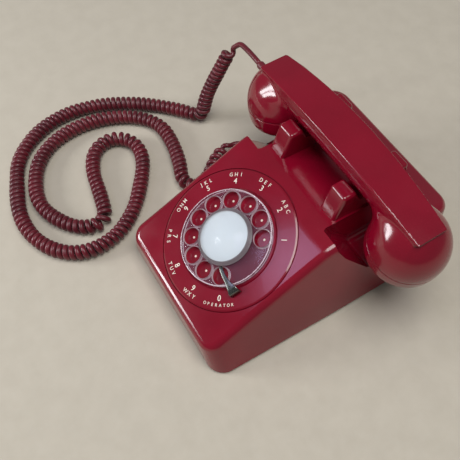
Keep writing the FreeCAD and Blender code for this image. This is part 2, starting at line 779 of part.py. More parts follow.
def make_card_and_retainer():
    card = dim("card_radius")
    outer = dim("retainer_radius")
    dial_turned("number_card", [(0, 1.1), (card, 1.1), (card, 1.5), (0, 1.5)])
    dial_turned("card_retainer", [
        (card + 0.3, 0), (outer, 0), (outer, 1.4), (outer - 2.6, 3.2), (0, 3.2), (0, 1.7),
        (card + 0.3, 1.7)])
    dial_turned("card_backing", [(0, 0), (card, 0), (card, 0.9), (0, 0.9)])


def make_finger_stop():
    """Bent steel strip that stops the finger; its foot goes down outside the wheel to the ring."""
    body = new_body("finger_stop")
    at_dial(body)
    sketch = sketch_on(body, "XY_Plane", "Strip", STOP_LIFT)
    rim = dim("wheel_radius").number
    outline = [on_clock(23.4, 128), on_clock(23.2, 120.5), on_clock(31, 115.5), on_clock(rim + 0.8, 111.5),
               on_clock(rim + 3.4, 107), on_clock(rim + 8.2, 104.5), on_clock(rim + 7.2, 116.5),
               on_clock(rim + 2.6, 119), on_clock(rim - 1.5, 119.5), on_clock(31, 122)]
    draw_polygon(sketch, outline)
    pad(body, sketch, STOP_THICK)
    foot = sketch_on(body, "XY_Plane", "Foot", -dim("ring_depth"))
    draw_polygon(foot, [on_clock(rim + 5.6, 105), on_clock(rim + 8.2, 104.5), on_clock(rim + 7.2, 116.5),
                        on_clock(rim + 4.9, 117)])
    pad(body, foot, dim("ring_depth") + STOP_LIFT + STOP_THICK)
    soften(body, 0.4, lambda edge: edge.BoundBox.ZMin > STOP_LIFT + STOP_THICK - 0.01)
    return body


def make_chassis():
    """Round dial frame with three posts up to the ring and bearings for the shafts."""
    body = new_body("dial_chassis")
    at_dial(body)
    bearing = SHAFT_HOLE - 0.25
    revolve(body, [(bearing, CHASSIS_LOW), (CHASSIS_RADIUS, CHASSIS_LOW), (CHASSIS_RADIUS, CHASSIS_HIGH),
                   (bearing, CHASSIS_HIGH)])
    posts = sketch_on(body, "XY_Plane", "Posts", CHASSIS_HIGH)
    for clock in POST_CLOCKS:
        x, y = on_clock(POST_CIRCLE, clock)
        draw_circle(posts, x, y, POST_RADIUS)
    pad(body, posts, -CHASSIS_HIGH - dim("plate_depth") - 2)
    bores = sketch_on(body, "XY_Plane", "Bores", CHASSIS_HIGH)
    for x, y in (PULSE_PLACE, GOVERNOR_PLACE):
        draw_circle(bores, x, y, PINION_RADIUS + BEARING_GAP)
    pocket(body, bores, CHASSIS_HIGH - CHASSIS_LOW)
    return body


def gear_outline(teeth, phase):
    """Straight-sided teeth, thinner than the gaps so that a pair runs with backlash."""
    module = dim("gear_module").number
    pitch_radius = module * teeth / 2
    tip_radius = pitch_radius + TOOTH_TIP * module
    root_radius = pitch_radius - TOOTH_ROOT * module
    step = 2 * math.pi / teeth
    points = []
    for index in range(teeth):
        middle = math.radians(phase) + index * step
        for radius, share in zip((root_radius, tip_radius, tip_radius, root_radius), TOOTH_SHARES):
            angle = middle + share * step
            points.append(Vector(radius * math.cos(angle), radius * math.sin(angle), 0))
    return points


def gear_solid(teeth, phase, low, high, bore=0.0):
    """A spur gear between two heights of the dial's frame, with a bore when one is given."""
    points = gear_outline(teeth, phase)
    face = Part.Face(Part.makePolygon(points + points[:1]))
    solid = face.extrude(Vector(0, 0, high - low))
    solid.translate(Vector(0, 0, low))
    if bore:
        solid = solid.cut(Part.makeCylinder(bore, high - low, Vector(0, 0, low)))
    return solid


def make_gear_part(label, shapes, clock_place):
    """Gears and the discs on their shaft as one turned-together piece."""
    shape = shapes[0].multiFuse(shapes[1:]) if len(shapes) > 1 else shapes[0]
    part = doc.addObject("Part::Feature", label + "_solid")
    part.Shape = shape.removeSplitter()
    x, y = clock_place
    tilt = math.radians(dim("dial_tilt").number)
    place = Vector(CX.number + x, dim("dial_y").number + y * math.cos(tilt),
                   dim("dial_z").number + y * math.sin(tilt))
    part.Placement = Placement(place, DIAL_ROTATION)
    return subpart(part, label)


def disc(radius, low, high):
    return Part.makeCylinder(radius, high - low, Vector(0, 0, low))


def make_dial_train():
    """Shaft and drive gear, the pulse pinion it turns, and the governor at the end of the train."""
    shaft = dim("shaft_radius")
    under_wheel = -dim("wheel_thick")
    dial_turned("dial_shaft", [(0, SHAFT_LOW), (shaft, SHAFT_LOW), (shaft, under_wheel), (0, under_wheel)])
    drive = gear_solid(int(dim("drive_teeth").number), 0, -18, -16, shaft.number)
    make_gear_part("drive_gear", [drive], (0, 0))
    pulse = [gear_solid(int(dim("pulse_teeth").number), 12, -18.3, -15.7),
             gear_solid(int(dim("pulse_wheel_teeth").number), 0, -22.6, -21.2),
             disc(7.4, -20.9, -19.6).cut(Part.makeBox(4, 5, 2, Vector(5.4, -2.5, -21.2))),
             disc(PINION_RADIUS, PINION_LOW, CHASSIS_HIGH)]
    make_gear_part("pulse_pinion", pulse, PULSE_PLACE)
    governor = [gear_solid(int(dim("governor_teeth").number), 0, -22.9, -20.9),
                disc(PINION_RADIUS, PINION_LOW, CHASSIS_HIGH),
                disc(8.6, -19, -17.5), disc(4, -17.5, -15.5)]
    make_gear_part("governor", governor, GOVERNOR_PLACE)


def make_dial_spring():
    """Flat spiral spring round the lower end of the dial shaft, drawn as joined half circles."""
    radius = SPRING_INNER
    centre = 0.0
    turns = []
    upward = 1
    while radius < SPRING_OUTER:
        start = Vector(centre - radius * upward, 0, 0)
        middle = Vector(centre, radius * upward, 0)
        end = Vector(centre + radius * upward, 0, 0)
        turns.append(Part.Arc(start, middle, end).toShape())
        centre -= upward * SPRING_STEP / 2
        radius += SPRING_STEP / 2
        upward = -upward
    path = Part.Wire(turns)
    start = path.Vertexes[0].Point
    half = SPRING_STRIP / 2
    strip = Part.makePolygon([start + Vector(x, 0, z) for x, z in
                              ((-half, SPRING_LOW), (half, SPRING_LOW), (half, SPRING_HIGH),
                               (-half, SPRING_HIGH), (-half, SPRING_LOW))])
    band = path.makePipeShell([strip], True, False)
    return make_gear_part("dial_spring", [band], (0, 0))


def dial_box(name, x, y, low, size_x, size_y, height):
    """A block standing square in the dial's frame."""
    block = doc.addObject("Part::Box", name)
    bind(block, "Length", size_x)
    bind(block, "Width", size_y)
    bind(block, "Height", height)
    offset = DIAL_ROTATION.multVec(Vector(x, y, low))
    block.Placement = Placement(Vector(0, 0, 0), DIAL_ROTATION)
    bind(block, "Placement.Base.x", CX + offset.x)
    bind(block, "Placement.Base.y", dim("dial_y") + offset.y)
    bind(block, "Placement.Base.z", dim("dial_z") + offset.z)
    return block


def make_dial_contacts():
    """Insulating block with three leaf springs beside the pulse cam."""
    pieces = [dial_box("ContactBlock", -46, -32, -21, 9, 10, 6.9)]
    for index in range(3):
        pieces.append(dial_box(f"Leaf{index}", -43.5 + 1.6 * index, -22, -20.8, 0.4, 20, 1.1))
    return subpart(group("DialContacts", pieces), "dial_contacts")


def make_dial_bracket():
    """Two upright straps that carry the dial on the base plate."""
    straps = []
    for index, side in enumerate((-1, 1)):
        x = CX + (side * STRAP_X - STRAP_THICK / 2)
        strap = box(f"Strap{index}", x, STRAP_FRONT_Y, PLATE_TOP_Z, STRAP_THICK, STRAP_WIDE, STRAP_TALL)
        inward = STRAP_THICK if side < 0 else -10
        foot = box(f"StrapFoot{index}", x + inward, STRAP_FRONT_Y, PLATE_TOP_Z, 10, STRAP_WIDE, 1.5)
        straps.append(fuse(f"StrapPair{index}", [strap, foot]))
    return subpart(group("Straps", straps), "dial_bracket")


# ---------------------------------------------------------------- ringer, network and hook switch

def make_ringer():
    """Bell mechanism: a frame, two coils, two gongs on posts and a clapper between them."""
    floor = box("RingerFloor", CX - 26, RINGER_FRONT_Y, PLATE_TOP_Z, 52, 20, 1.6)
    yoke = box("RingerYoke", CX - 24, RINGER_FRONT_Y, PLATE_TOP_Z, 48, 2, 28)
    tongue = box("RingerTongue", CX - 5, 40, PLATE_TOP_Z, 10, 12, 1.6)
    pivot = cylinder("RingerPivot", CX, PIVOT_Y, PLATE_TOP_Z, PIVOT_RADIUS, 22)
    subpart(fuse("RingerFrame", [floor, yoke, tongue, pivot]), "ringer_frame")
    coils = []
    for index, side in enumerate((-1, 1)):
        x = CX + side * COIL_X
        spool = cylinder(f"Winding{index}", x, 25.6, RINGER_Z, COIL_RADIUS, 14.6, ALONG_Y)
        cheeks = [cylinder(f"Cheek{index}{place}", x, place, RINGER_Z, CHEEK_RADIUS, CHEEK_THICK, ALONG_Y)
                  for place in CHEEK_PLACES]
        core = cylinder(f"Core{index}", x, 24, RINGER_Z, CORE_RADIUS, 19, ALONG_Y)
        coils.append(fuse(f"Coil{index}", [spool, core] + cheeks))
    subpart(group("Coils", coils), "ringer_coils")
    for label, side in (("gong_high", 1), ("gong_low", -1)):
        turned(label, CX + side * GONG_X, GONG_Y, 0, [
            (1.7, GONG_SEAT_Z), (12, GONG_SEAT_Z), (17.6, 22), (20.4, 17), (20.4, 12), (GONG_RADIUS, 12),
            (GONG_RADIUS, 17.6), (18.6, 23.4), (12.4, GONG_TOP_Z), (1.7, GONG_TOP_Z)])
    posts = [cylinder(f"GongPost{side}", CX + side * GONG_X, GONG_Y, PLATE_TOP_Z, 4, 20)
             for side in (-1, 1)]
    subpart(group("GongPosts", posts), "gong_posts")
    screws = []
    for side in (-1, 1):
        stem = cylinder(f"GongStem{side}", CX + side * GONG_X, GONG_Y, GONG_SEAT_Z, 1.6,
                        GONG_TOP_Z - GONG_SEAT_Z)
        head = cylinder(f"GongHead{side}", CX + side * GONG_X, GONG_Y, GONG_TOP_Z, 3.6, 2)
        screws.append(fuse(f"GongScrew{side}", [stem, head]))
    subpart(group("GongScrews", screws), "gong_screws")


def make_clapper():
    """Armature, arm and hammer in one rocking piece on the ringer's pivot."""
    armature = box("Armature", CX - 17, PIVOT_Y - 1.2, 14, 34, 4.4, 11)
    arm = box("ClapperArm", CX - 0.8, PIVOT_Y, RINGER_Z - 1, 1.6, HAMMER_Y - PIVOT_Y, 2)
    hammer = cylinder("Hammer", CX, HAMMER_Y, RINGER_Z - 4, HAMMER_RADIUS, 7)
    whole = fuse("ClapperSolid", [armature, arm, hammer])
    bore = cylinder("ClapperBore", CX, PIVOT_Y, 0, PIVOT_RADIUS + BEARING_GAP, 40)
    return subpart(cut("Clapper", whole, bore), "bell_clapper")


def make_volume_wheel():
    """Knurled ringer volume wheel that shows through the base plate."""
    body = new_body("volume_wheel")
    set_place(body, CX + (WHEEL_X - VOLUME_THICK / 2), WHEEL_Y, WHEEL_Z, ALONG_X)
    half = VOLUME_THICK / 2
    revolve(body, [(0, half - 6.2), (AXLE_RADIUS, half - 6.2), (AXLE_RADIUS, 0), (VOLUME_RADIUS, 0),
                   (VOLUME_RADIUS, VOLUME_THICK), (AXLE_RADIUS, VOLUME_THICK), (AXLE_RADIUS, half + 6.2),
                   (0, half + 6.2)])
    notch = sketch_on(body, "XY_Plane", "Notch", VOLUME_THICK)
    draw_circle(notch, VOLUME_RADIUS + 0.5, 0, NOTCH_RADIUS)
    groove = pocket(body, notch, VOLUME_THICK)
    round_pattern(body, groove, NOTCH_COUNT)
    return body


def make_network():
    """Potted network block and its row of terminal screws."""
    block = box("NetworkBlock", CX - 56, -30, PLATE_TOP_Z, 60, 42, NETWORK_TALL)
    subpart(block, "network_block")
    screws = []
    top = PLATE_TOP_Z + NETWORK_TALL
    for column in range(TERMINAL_COLUMNS):
        for line in TERMINAL_ROWS_Y:
            name = f"Terminal{column}{'A' if line < 0 else 'B'}"
            screws.append(cylinder(name, CX + (-51 + TERMINAL_PITCH * column), line, top, 2.4, 1.6))
    subpart(group("Terminals", screws), "terminal_screws")


def make_hook_switch():
    """Bracket, contacts and rocking lever under the two plungers."""
    uprights = [box(f"HookUpright{side}", CX + (side * UPRIGHT_X - UPRIGHT_THICK / 2), HOOK_FRAME_Y,
                    PLATE_TOP_Z, UPRIGHT_THICK, 14, 57) for side in (-1, 1)]
    bar = box("HookBar", CX - UPRIGHT_X, HOOK_FRAME_Y, 42, 2 * UPRIGHT_X, UPRIGHT_THICK, 8)
    frame = fuse("HookFrame", uprights + [bar])
    bore = cylinder("HookBore", CX - 45, HOOK_Y, HOOK_Z, AXLE_RADIUS + BEARING_GAP, 90, ALONG_X)
    subpart(cut("HookBracket", frame, bore), "hook_bracket")
    contacts = [box("HookBlock", CX - 12, 15.6, 41, 24, 6, 9)]
    for index in range(LEAF_COUNT):
        contacts.append(box(f"HookLeaf{index}", CX - 10 + LEAF_PITCH * index, 21.6, 43, 3, 12, 0.4))
    subpart(group("HookContacts", contacts), "hook_contacts")
    axle = cylinder("LeverAxle", CX - 39.5, HOOK_Y, HOOK_Z, AXLE_RADIUS, 79, ALONG_X)
    arms = [box(f"LeverArm{side}", CX + (side * PLUNGER_X - 2), HOOK_Y - 3, HOOK_Z - 1, 4, 33, 2)
            for side in (-1, 1)]
    subpart(fuse("HookLever", [axle] + arms), "hook_lever")
    for label, side in (("plunger_left", -1), ("plunger_right", 1)):
        turned(label, CX + side * PLUNGER_X, dim("handset_y"), PLUNGER_LOW_Z, [
            (0, 0), (PLUNGER_RADIUS, 0), (PLUNGER_RADIUS, PLUNGER_HIGH_Z - PLUNGER_LOW_Z - 1),
            (PLUNGER_RADIUS - 1, PLUNGER_HIGH_Z - PLUNGER_LOW_Z), (0, PLUNGER_HIGH_Z - PLUNGER_LOW_Z)])


# ---------------------------------------------------------------- handset

def cup_rotation(side):
    return Rotation(Vector(0, 1, 0), side * dim("cup_tilt").number)


def at_cup(obj, side):
    """Stand an object on a cup's rim: its Z points up through the dome."""
    return set_place(obj, side * dim("cup_x"), dim("handset_y"), dim("cup_rim_z"), cup_rotation(side))


def make_handset_handle():
    """Arched handle with a domed cup at each end, and a chamber in each cup."""
    handle = doc.addObject("PartDesign::Body", "HandleBody")
    set_place(handle, 0, dim("handset_y"), 0)
    arch = dim("arch_radius")
    top = dim("handset_top_z")
    sketch = handle.newObject("Sketcher::SketchObject", "HandleSection")
    sketch.AttachmentSupport = [(origin_plane(handle, "YZ_Plane"), "")]
    sketch.MapMode = "FlatFace"
    bind(sketch, "AttachmentOffset.Base.y", top - arch)
    right = [(across, arch - down) for across, down in HANDLE_DROP]
    left = [(-across, arch - down) for across, down in reversed(HANDLE_DROP)]
    draw_polygon(sketch, right + left)
    arm = handle.newObject("PartDesign::Revolution", "HandleArch")
    arm.Profile = (sketch, [""])
    arm.ReferenceAxis = (sketch, ["H_Axis"])
    arm.Angle = HANDLE_SWEEP_DEG
    arm.Midplane = True
    pieces = [handle]
    for side in (-1, 1):
        dome = doc.addObject("Part::Ellipsoid", f"Dome{side}")
        bind(dome, "Radius1", dim("dome_height"))
        bind(dome, "Radius2", dim("cup_radius"))
        dome.Angle1 = 0
        dome.Angle2 = 90
        pieces.append(at_cup(dome, side))
    solid = fuse("HandleSolid", pieces)
    for side in (-1, 1):
        chamber = doc.addObject("Part::Cylinder", f"Chamber{side}")
        bind(chamber, "Radius", CHAMBER_RADIUS)
        bind(chamber, "Height", CHAMBER_DEPTH)
        at_cup(chamber, side)
        solid = cut(f"Hollowed{side}", solid, chamber)
    socket = cylinder("CordSocket", BUSHING_TIP_X, BUSHING_Y, BUSHING_Z, BUSHING_RADIUS,
                      BUSHING_SOCKET, ALONG_X)
    return subpart(cut("HandsetHandle", solid, socket), "handset_handle")


def make_cap(label, side, hole_rings):
    """Screw-on cap of a cup: dished face with sound holes, rounded rim and a collar inside the chamber."""
    body = new_body(label)
    at_cup(body, side)
    rim = dim("cup_radius")
    thick = dim("cap_thick")
    collar = CHAMBER_RADIUS - 0.3
    inside = CHAMBER_RADIUS - 2.2
    revolve(body, [(0, 2.2 - thick), (8, 1.4 - thick), (17, -thick), (rim - 8, -thick),
                   (rim - 4.4, 1.4 - thick), (rim - 2, 4.4 - thick), (rim - 0.8, 8.4 - thick),
                   (rim - 0.2, 13 - thick), (rim, -0.1), (collar, -0.1), (collar, 4), (inside, 4),
                   (inside, CAP_FLOOR - thick), (0, CAP_FLOOR - thick)])
    for index, (radius, count) in enumerate(hole_rings):
        sketch = sketch_on(body, "XY_Plane", f"SoundHole{index}", -thick - 1)
        draw_circle(sketch, radius, 0, SOUND_HOLE_RADIUS)
        hole = pocket(body, sketch, CAP_FLOOR + 2, True)
        round_pattern(body, hole, count)
    return body


def make_handset_inside():
    """Receiver and transmitter capsules between cap and chamber, and the transmitter's contact cup."""
    low = CAP_FLOOR + 0.4 - dim("cap_thick")
    for label, side, radius in (("receiver_unit", 1, 20.4), ("transmitter_unit", -1, 19.6)):
        body = new_body(label)
        at_cup(body, side)
        revolve(body, [(0, low), (radius, low), (radius, 3), (radius - 5, 6.5), (0, 6.5)])
    body = new_body("transmitter_holder")
    at_cup(body, -1)
    revolve(body, [(0, 8), (12, 8), (12, 6.9), (21, 6.9), (21, 12.4), (19.6, 12.4), (19.6, 9.6), (0, 9.6)])


def make_bushing():
    """Rubber bushing where the cord leaves the handset's transmitter end."""
    outline = [(0, 0), (2.8, 0), (BUSHING_RADIUS, 1.2), (BUSHING_RADIUS, 12), (0, 12)]
    return turned("handset_bushing", BUSHING_TIP_X, BUSHING_Y, BUSHING_Z, outline, ALONG_X)


# ---------------------------------------------------------------- handset cord

def rounded_path(points):
    """Straight runs joined by tangent arcs, each as large as its two runs allow, and the arcs' radii."""
    corners = [Vector(*point) for point in points]
    edges = []
    radii = []
    last = corners[0]
    for before, corner, after in zip(corners, corners[1:], corners[2:]):
        inward = before - corner
        outward = after - corner
        shorter = min(inward.Length, outward.Length)
        half_turn = (math.pi - inward.getAngle(outward)) / 2
        reach = RUN_SHARE * shorter
        radius = reach / math.tan(half_turn)
        inward.normalize()
        outward.normalize()
        start = corner + inward * reach
        end = corner + outward * reach
        bisector = inward + outward
        bisector.normalize()
        middle = corner + bisector * (radius / math.cos(half_turn) - radius)
        edges.append(Part.LineSegment(last, start).toShape())
        edges.append(Part.Arc(start, middle, end).toShape())
        radii.append(round(radius, 1))
        last = end
    edges.append(Part.LineSegment(last, corners[-1]).toShape())
    return Part.Wire(edges), radii


def make_tube(label, route, diameter):
    """A round tube along a rounded path, checked against its section times its length."""
    path, radii = rounded_path(route)
    start = Vector(*route[0])
    direction = Vector(*route[1]) - start
    ring = Part.Wire(Part.Circle(start, direction, diameter / 2).toShape())
    tube = path.makePipeShell([ring], True, False)
    expected = math.pi * diameter ** 2 / 4 * path.Length
    print(f"{label}: length {path.Length:.0f} mm, smallest radii {sorted(radii)[:4]}, "
          f"volume {tube.Volume / expected:.3f} of section times length")
    part = doc.addObject("Part::Feature", label + "_solid")
    part.Shape = tube
    part.Placement = Placement(Vector(0, 0, 0), Rotation())
    return subpart(part, label)


make_housing()
make_base_plate()
make_feet()
make_housing_screws()
make_line_grommet()
make_cord_grommet()
make_number_ring()
make_finger_wheel()
make_card_and_retainer()
make_finger_stop()
make_chassis()
make_dial_train()
make_dial_spring()
make_dial_contacts()
make_dial_bracket()
make_ringer()
make_clapper()
make_volume_wheel()
make_network()
make_hook_switch()
make_handset_handle()
make_cap("receiver_cap", 1, ((6, 6), (13, 6)))
make_cap("transmitter_cap", -1, ((5, 6), (10, 12), (15, 18)))
make_handset_inside()
make_bushing()
make_tube("cord_coil", COIL_ROUTE, dim("coil_diameter").number)
make_tube("cord_lead", LEAD_ROUTE, dim("wire_diameter").number)
make_tube("cord_tail", TAIL_ROUTE, dim("wire_diameter").number)


# ---------------------------------------------------------------- checking and writing

def check_document():
    for obj in doc.Objects:
        if "Invalid" in obj.State or "Error" in obj.State:
            raise RuntimeError(f"{obj.Name} ({obj.Label}) is {obj.State}")
    for obj in SUBPARTS:
        if obj.Shape.isNull() or not obj.Shape.isValid():
            raise RuntimeError(f"{obj.Label} has no valid shape")


def write_parts():
    os.makedirs(PARTS_FOLDER, exist_ok=True)
    for obj in SUBPARTS:
        obj.Shape.exportStep(os.path.join(PARTS_FOLDER, obj.Label + ".step"))


doc.recompute()
check_document()
write_parts()
for obj in SUBPARTS:
    print(f"{obj.Label}: {obj.Shape.Volume:.0f} mm3, {len(obj.Shape.Solids)} solid(s)")
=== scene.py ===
import json
import math

import bpy
import numpy as np
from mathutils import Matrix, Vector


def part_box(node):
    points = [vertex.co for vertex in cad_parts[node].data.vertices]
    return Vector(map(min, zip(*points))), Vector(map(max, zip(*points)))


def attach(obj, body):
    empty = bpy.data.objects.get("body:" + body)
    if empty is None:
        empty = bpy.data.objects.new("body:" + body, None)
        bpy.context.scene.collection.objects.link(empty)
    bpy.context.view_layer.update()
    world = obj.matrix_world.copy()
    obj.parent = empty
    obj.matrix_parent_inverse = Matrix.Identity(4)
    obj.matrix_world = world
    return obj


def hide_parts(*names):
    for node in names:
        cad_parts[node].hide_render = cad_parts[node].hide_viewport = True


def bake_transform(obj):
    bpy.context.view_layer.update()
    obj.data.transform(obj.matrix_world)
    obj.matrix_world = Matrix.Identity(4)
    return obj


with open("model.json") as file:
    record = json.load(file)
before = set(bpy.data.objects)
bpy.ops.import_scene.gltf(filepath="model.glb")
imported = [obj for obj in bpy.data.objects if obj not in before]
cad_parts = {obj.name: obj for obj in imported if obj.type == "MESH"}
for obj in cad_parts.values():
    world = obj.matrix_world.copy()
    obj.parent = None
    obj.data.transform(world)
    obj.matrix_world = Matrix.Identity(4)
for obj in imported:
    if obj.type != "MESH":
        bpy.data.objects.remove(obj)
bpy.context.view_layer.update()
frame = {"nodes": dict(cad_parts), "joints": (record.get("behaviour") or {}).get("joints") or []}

import openvdb
from mathutils import Matrix, Vector

# The looks of a desk telephone with a rotary dial, in metres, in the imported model's frame.

NODES = frame["nodes"]
JOINTS = {joint["name"]: joint for joint in frame["joints"]}


# ---------------------------------------------------------------- small mesh helpers

def new_object(name, mesh):
    piece = bpy.data.objects.new(name, mesh)
    bpy.context.scene.collection.objects.link(piece)
    return piece


def mesh_object(name, points, faces, material=None, smooth=True):
    mesh = bpy.data.meshes.new(name)
    mesh.from_pydata([tuple(point) for point in points], [], [tuple(face) for face in faces])
    mesh.update()
    if smooth:
        mesh.shade_smooth()
    if material:
        mesh.materials.append(material)
    return new_object(name, mesh)


def unit(vectors):
    lengths = np.linalg.norm(vectors, axis=-1, keepdims=True)
    return vectors / np.maximum(lengths, 1e-12)


def smooth_step(value):
    value = np.clip(value, 0, 1)
    return value * value * (3 - 2 * value)


# ---------------------------------------------------------------- materials

def linear(red, green, blue):
    """A colour given as 0-255 screen values, as the shader's linear ones."""
    values = [value / 255 for value in (red, green, blue)]
    return [value / 12.92 if value < 0.04 else ((value + 0.055) / 1.055) ** 2.4 for value in values] + [1]


class Shader:
    """A Principled material whose colour, roughness and bump come from small node chains."""

    def __init__(self, name, colour, roughness, **inputs):
        self.material = bpy.data.materials.new(name)
        self.material.use_nodes = True
        self.tree = self.material.node_tree
        self.main = self.tree.nodes["Principled BSDF"]
        self.place = self.tree.nodes.new("ShaderNodeTexCoord").outputs["Object"]
        self.colour = colour
        self.main.inputs["Base Color"].default_value = colour
        self.main.inputs["Roughness"].default_value = roughness
        for key, value in inputs.items():
            self.main.inputs[key.replace("_", " ")].default_value = value
        self.bump_normal = None

    def node(self, kind, **settings):
        made = self.tree.nodes.new("ShaderNode" + kind)
        for key, value in settings.items():
            setattr(made, key, value)
        return made

    def link(self, source, target):
        self.tree.links.new(source, target)

    def noise(self, scale, detail=3, stretch=None):
        """Noise over the object's own metres; stretch draws it out along an axis."""
        made = self.node("TexNoise")
        made.inputs["Scale"].default_value = scale
        made.inputs["Detail"].default_value = detail
        source = self.place
        if stretch:
            mapping = self.node("Mapping")
            mapping.inputs["Scale"].default_value = stretch
            self.link(source, mapping.inputs["Vector"])
            source = mapping.outputs["Vector"]
        self.link(source, made.inputs["Vector"])
        return made.outputs["Fac"]

    def spread(self, source, low, high, start=0.3, end=0.7):
        made = self.node("MapRange")
        made.inputs["From Min"].default_value = start
        made.inputs["From Max"].default_value = end
        made.inputs["To Min"].default_value = low
        made.inputs["To Max"].default_value = high
        self.link(source, made.inputs["Value"])
        return made.outputs["Result"]

    def vary_roughness(self, source, low, high, start=0.3, end=0.7):
        self.link(self.spread(source, low, high, start, end), self.main.inputs["Roughness"])
        return self

    def vary_colour(self, source, other, start=0.35, end=0.65):
        mix = self.node("Mix", data_type="RGBA")
        mix.inputs[6].default_value = self.colour
        mix.inputs[7].default_value = other
        previous = self.main.inputs["Base Color"].links
        if previous:
            self.link(previous[0].from_socket, mix.inputs[6])
        self.link(self.spread(source, 0, 1, start, end), mix.inputs[0])
        self.link(mix.outputs[2], self.main.inputs["Base Color"])
        return self

    def bump(self, source, distance, strength=1.0):
        made = self.node("Bump")
        made.inputs["Distance"].default_value = distance
        made.inputs["Strength"].default_value = strength
        self.link(source, made.inputs["Height"])
        if self.bump_normal:
            self.link(self.bump_normal, made.inputs["Normal"])
        self.bump_normal = made.outputs["Normal"]
        self.link(self.bump_normal, self.main.inputs["Normal"])
        return self


RED = linear(128, 8, 34)
RED_WORN = linear(140, 24, 44)


def moulded_red():
    """Glossy moulded plastic with faint smudges, dust and a slight orange peel."""
    shader = Shader("moulded_red", RED, 0.16, Coat_Weight=0.3, Coat_Roughness=0.05, Specular_IOR_Level=0.5)
    shader.vary_colour(shader.noise(22, 5), linear(118, 6, 30))
    shader.vary_colour(shader.noise(900, 2), RED_WORN, 0.66, 0.8)
    shader.vary_roughness(shader.noise(34, 6), 0.1, 0.2)
    shader.bump(shader.noise(260, 2), 0.00005, 0.35)
    shader.bump(shader.noise(30, 3, (1, 14, 14)), 0.00003, 0.3)
    return shader.material


def cord_vinyl():
    """Duller vinyl of the curly cord, with grime and a fine grain."""
    shader = Shader("cord_vinyl", linear(104, 26, 38), 0.36, Specular_IOR_Level=0.5, Sheen_Weight=0.12,
                    Sheen_Roughness=0.4)
    shader.vary_colour(shader.noise(45, 5), linear(82, 18, 29))
    shader.vary_colour(shader.noise(700, 3), linear(128, 52, 60), 0.62, 0.8)
    shader.vary_roughness(shader.noise(120, 4), 0.28, 0.5)
    shader.bump(shader.noise(1500, 2), 0.00008, 0.4)
    return shader.material


def clear_plastic(name, tint, alpha, roughness=0.05):
    shader = Shader(name, tint, roughness, IOR=1.49, Alpha=alpha, Coat_Weight=0.3, Coat_Roughness=0.03)
    shader.vary_roughness(shader.noise(300, 4, (1, 6, 1)), roughness, roughness + 0.1, 0.45, 0.75)
    shader.bump(shader.noise(420, 2), 0.00004, 0.25)
    return shader.material


def metal(name, colour, roughness, worn, brush=(1, 30, 1)):
    """Plated or ground metal with directional brushing and stains."""
    shader = Shader(name, colour, roughness, Metallic=1.0)
    shader.vary_colour(shader.noise(70, 5), worn)
    shader.vary_roughness(shader.noise(500, 4, brush), roughness * 0.7, roughness * 1.5)
    shader.bump(shader.noise(900, 3, brush), 0.00001, 0.25)
    return shader.material


def plain(name, colour, other, roughness, grain, depth, **inputs):
    """A matte or satin finish with mottled colour and a fine grain."""
    shader = Shader(name, colour, roughness, **inputs)
    shader.vary_colour(shader.noise(60, 5), other)
    shader.vary_roughness(shader.noise(160, 4), roughness * 0.8, min(1.0, roughness * 1.25))
    shader.bump(shader.noise(grain, 3), depth, 0.5)
    return shader.material


MOULDED_RED = moulded_red()
CORD_VINYL = cord_vinyl()
CLEAR_WHEEL = clear_plastic("clear_wheel", linear(112, 78, 96), 0.26)
# lighter, nearly opaque clear tint for the hole walls and the rim line: a painted highlight, not the
# plastic's own colour
PAINTED_EDGE_HIGHLIGHT = clear_plastic("clear_painted_edge_highlight", linear(216, 196, 204), 0.85, 0.12)
CLEAR_CAP = clear_plastic("clear_cap", linear(236, 240, 244), 0.3, 0.03)
RIDGED_CLEAR = clear_plastic("ridged_clear", linear(140, 128, 132), 0.75, 0.14)
CARD = plain("card", linear(214, 226, 232), linear(204, 218, 226), 0.55, 2500, 0.00003)
INK = plain("ink", linear(238, 228, 214), linear(226, 214, 198), 0.5, 2500, 0.00002)
ENAMEL = plain("enamel", linear(38, 38, 41), linear(30, 30, 32), 0.42, 900, 0.00006)
RUBBER = plain("rubber", linear(34, 33, 33), linear(46, 44, 43), 0.8, 1400, 0.0001)
BLACK_PLASTIC = plain("black_plastic", linear(30, 29, 30), linear(40, 38, 38), 0.45, 1200, 0.00005)
FROSTED = plain("frosted_plastic", linear(214, 206, 196), linear(200, 190, 178), 0.3, 900, 0.00003,
                Subsurface_Weight=0.2)
WINDING = plain("winding_tape", linear(122, 60, 30), linear(96, 44, 22), 0.6, 1100, 0.00008)
STOP_STEEL = metal("stop_steel", linear(128, 132, 128), 0.2, linear(104, 106, 102), (12, 1, 1))
ZINC = metal("zinc_plate", linear(178, 178, 168), 0.36, linear(150, 148, 132))
STEEL = metal("ground_steel", linear(186, 186, 188), 0.28, linear(150, 150, 152))
BLUED = metal("blued_spring", linear(82, 86, 100), 0.3, linear(60, 62, 74))
BRASS = metal("cut_brass", linear(196, 158, 86), 0.28, linear(160, 124, 62))
GONG = metal("gong_metal", linear(190, 168, 110), 0.2, linear(156, 134, 84), (1, 1, 24))
CAPSULE = metal("capsule_metal", linear(190, 192, 194), 0.34, linear(160, 162, 166))

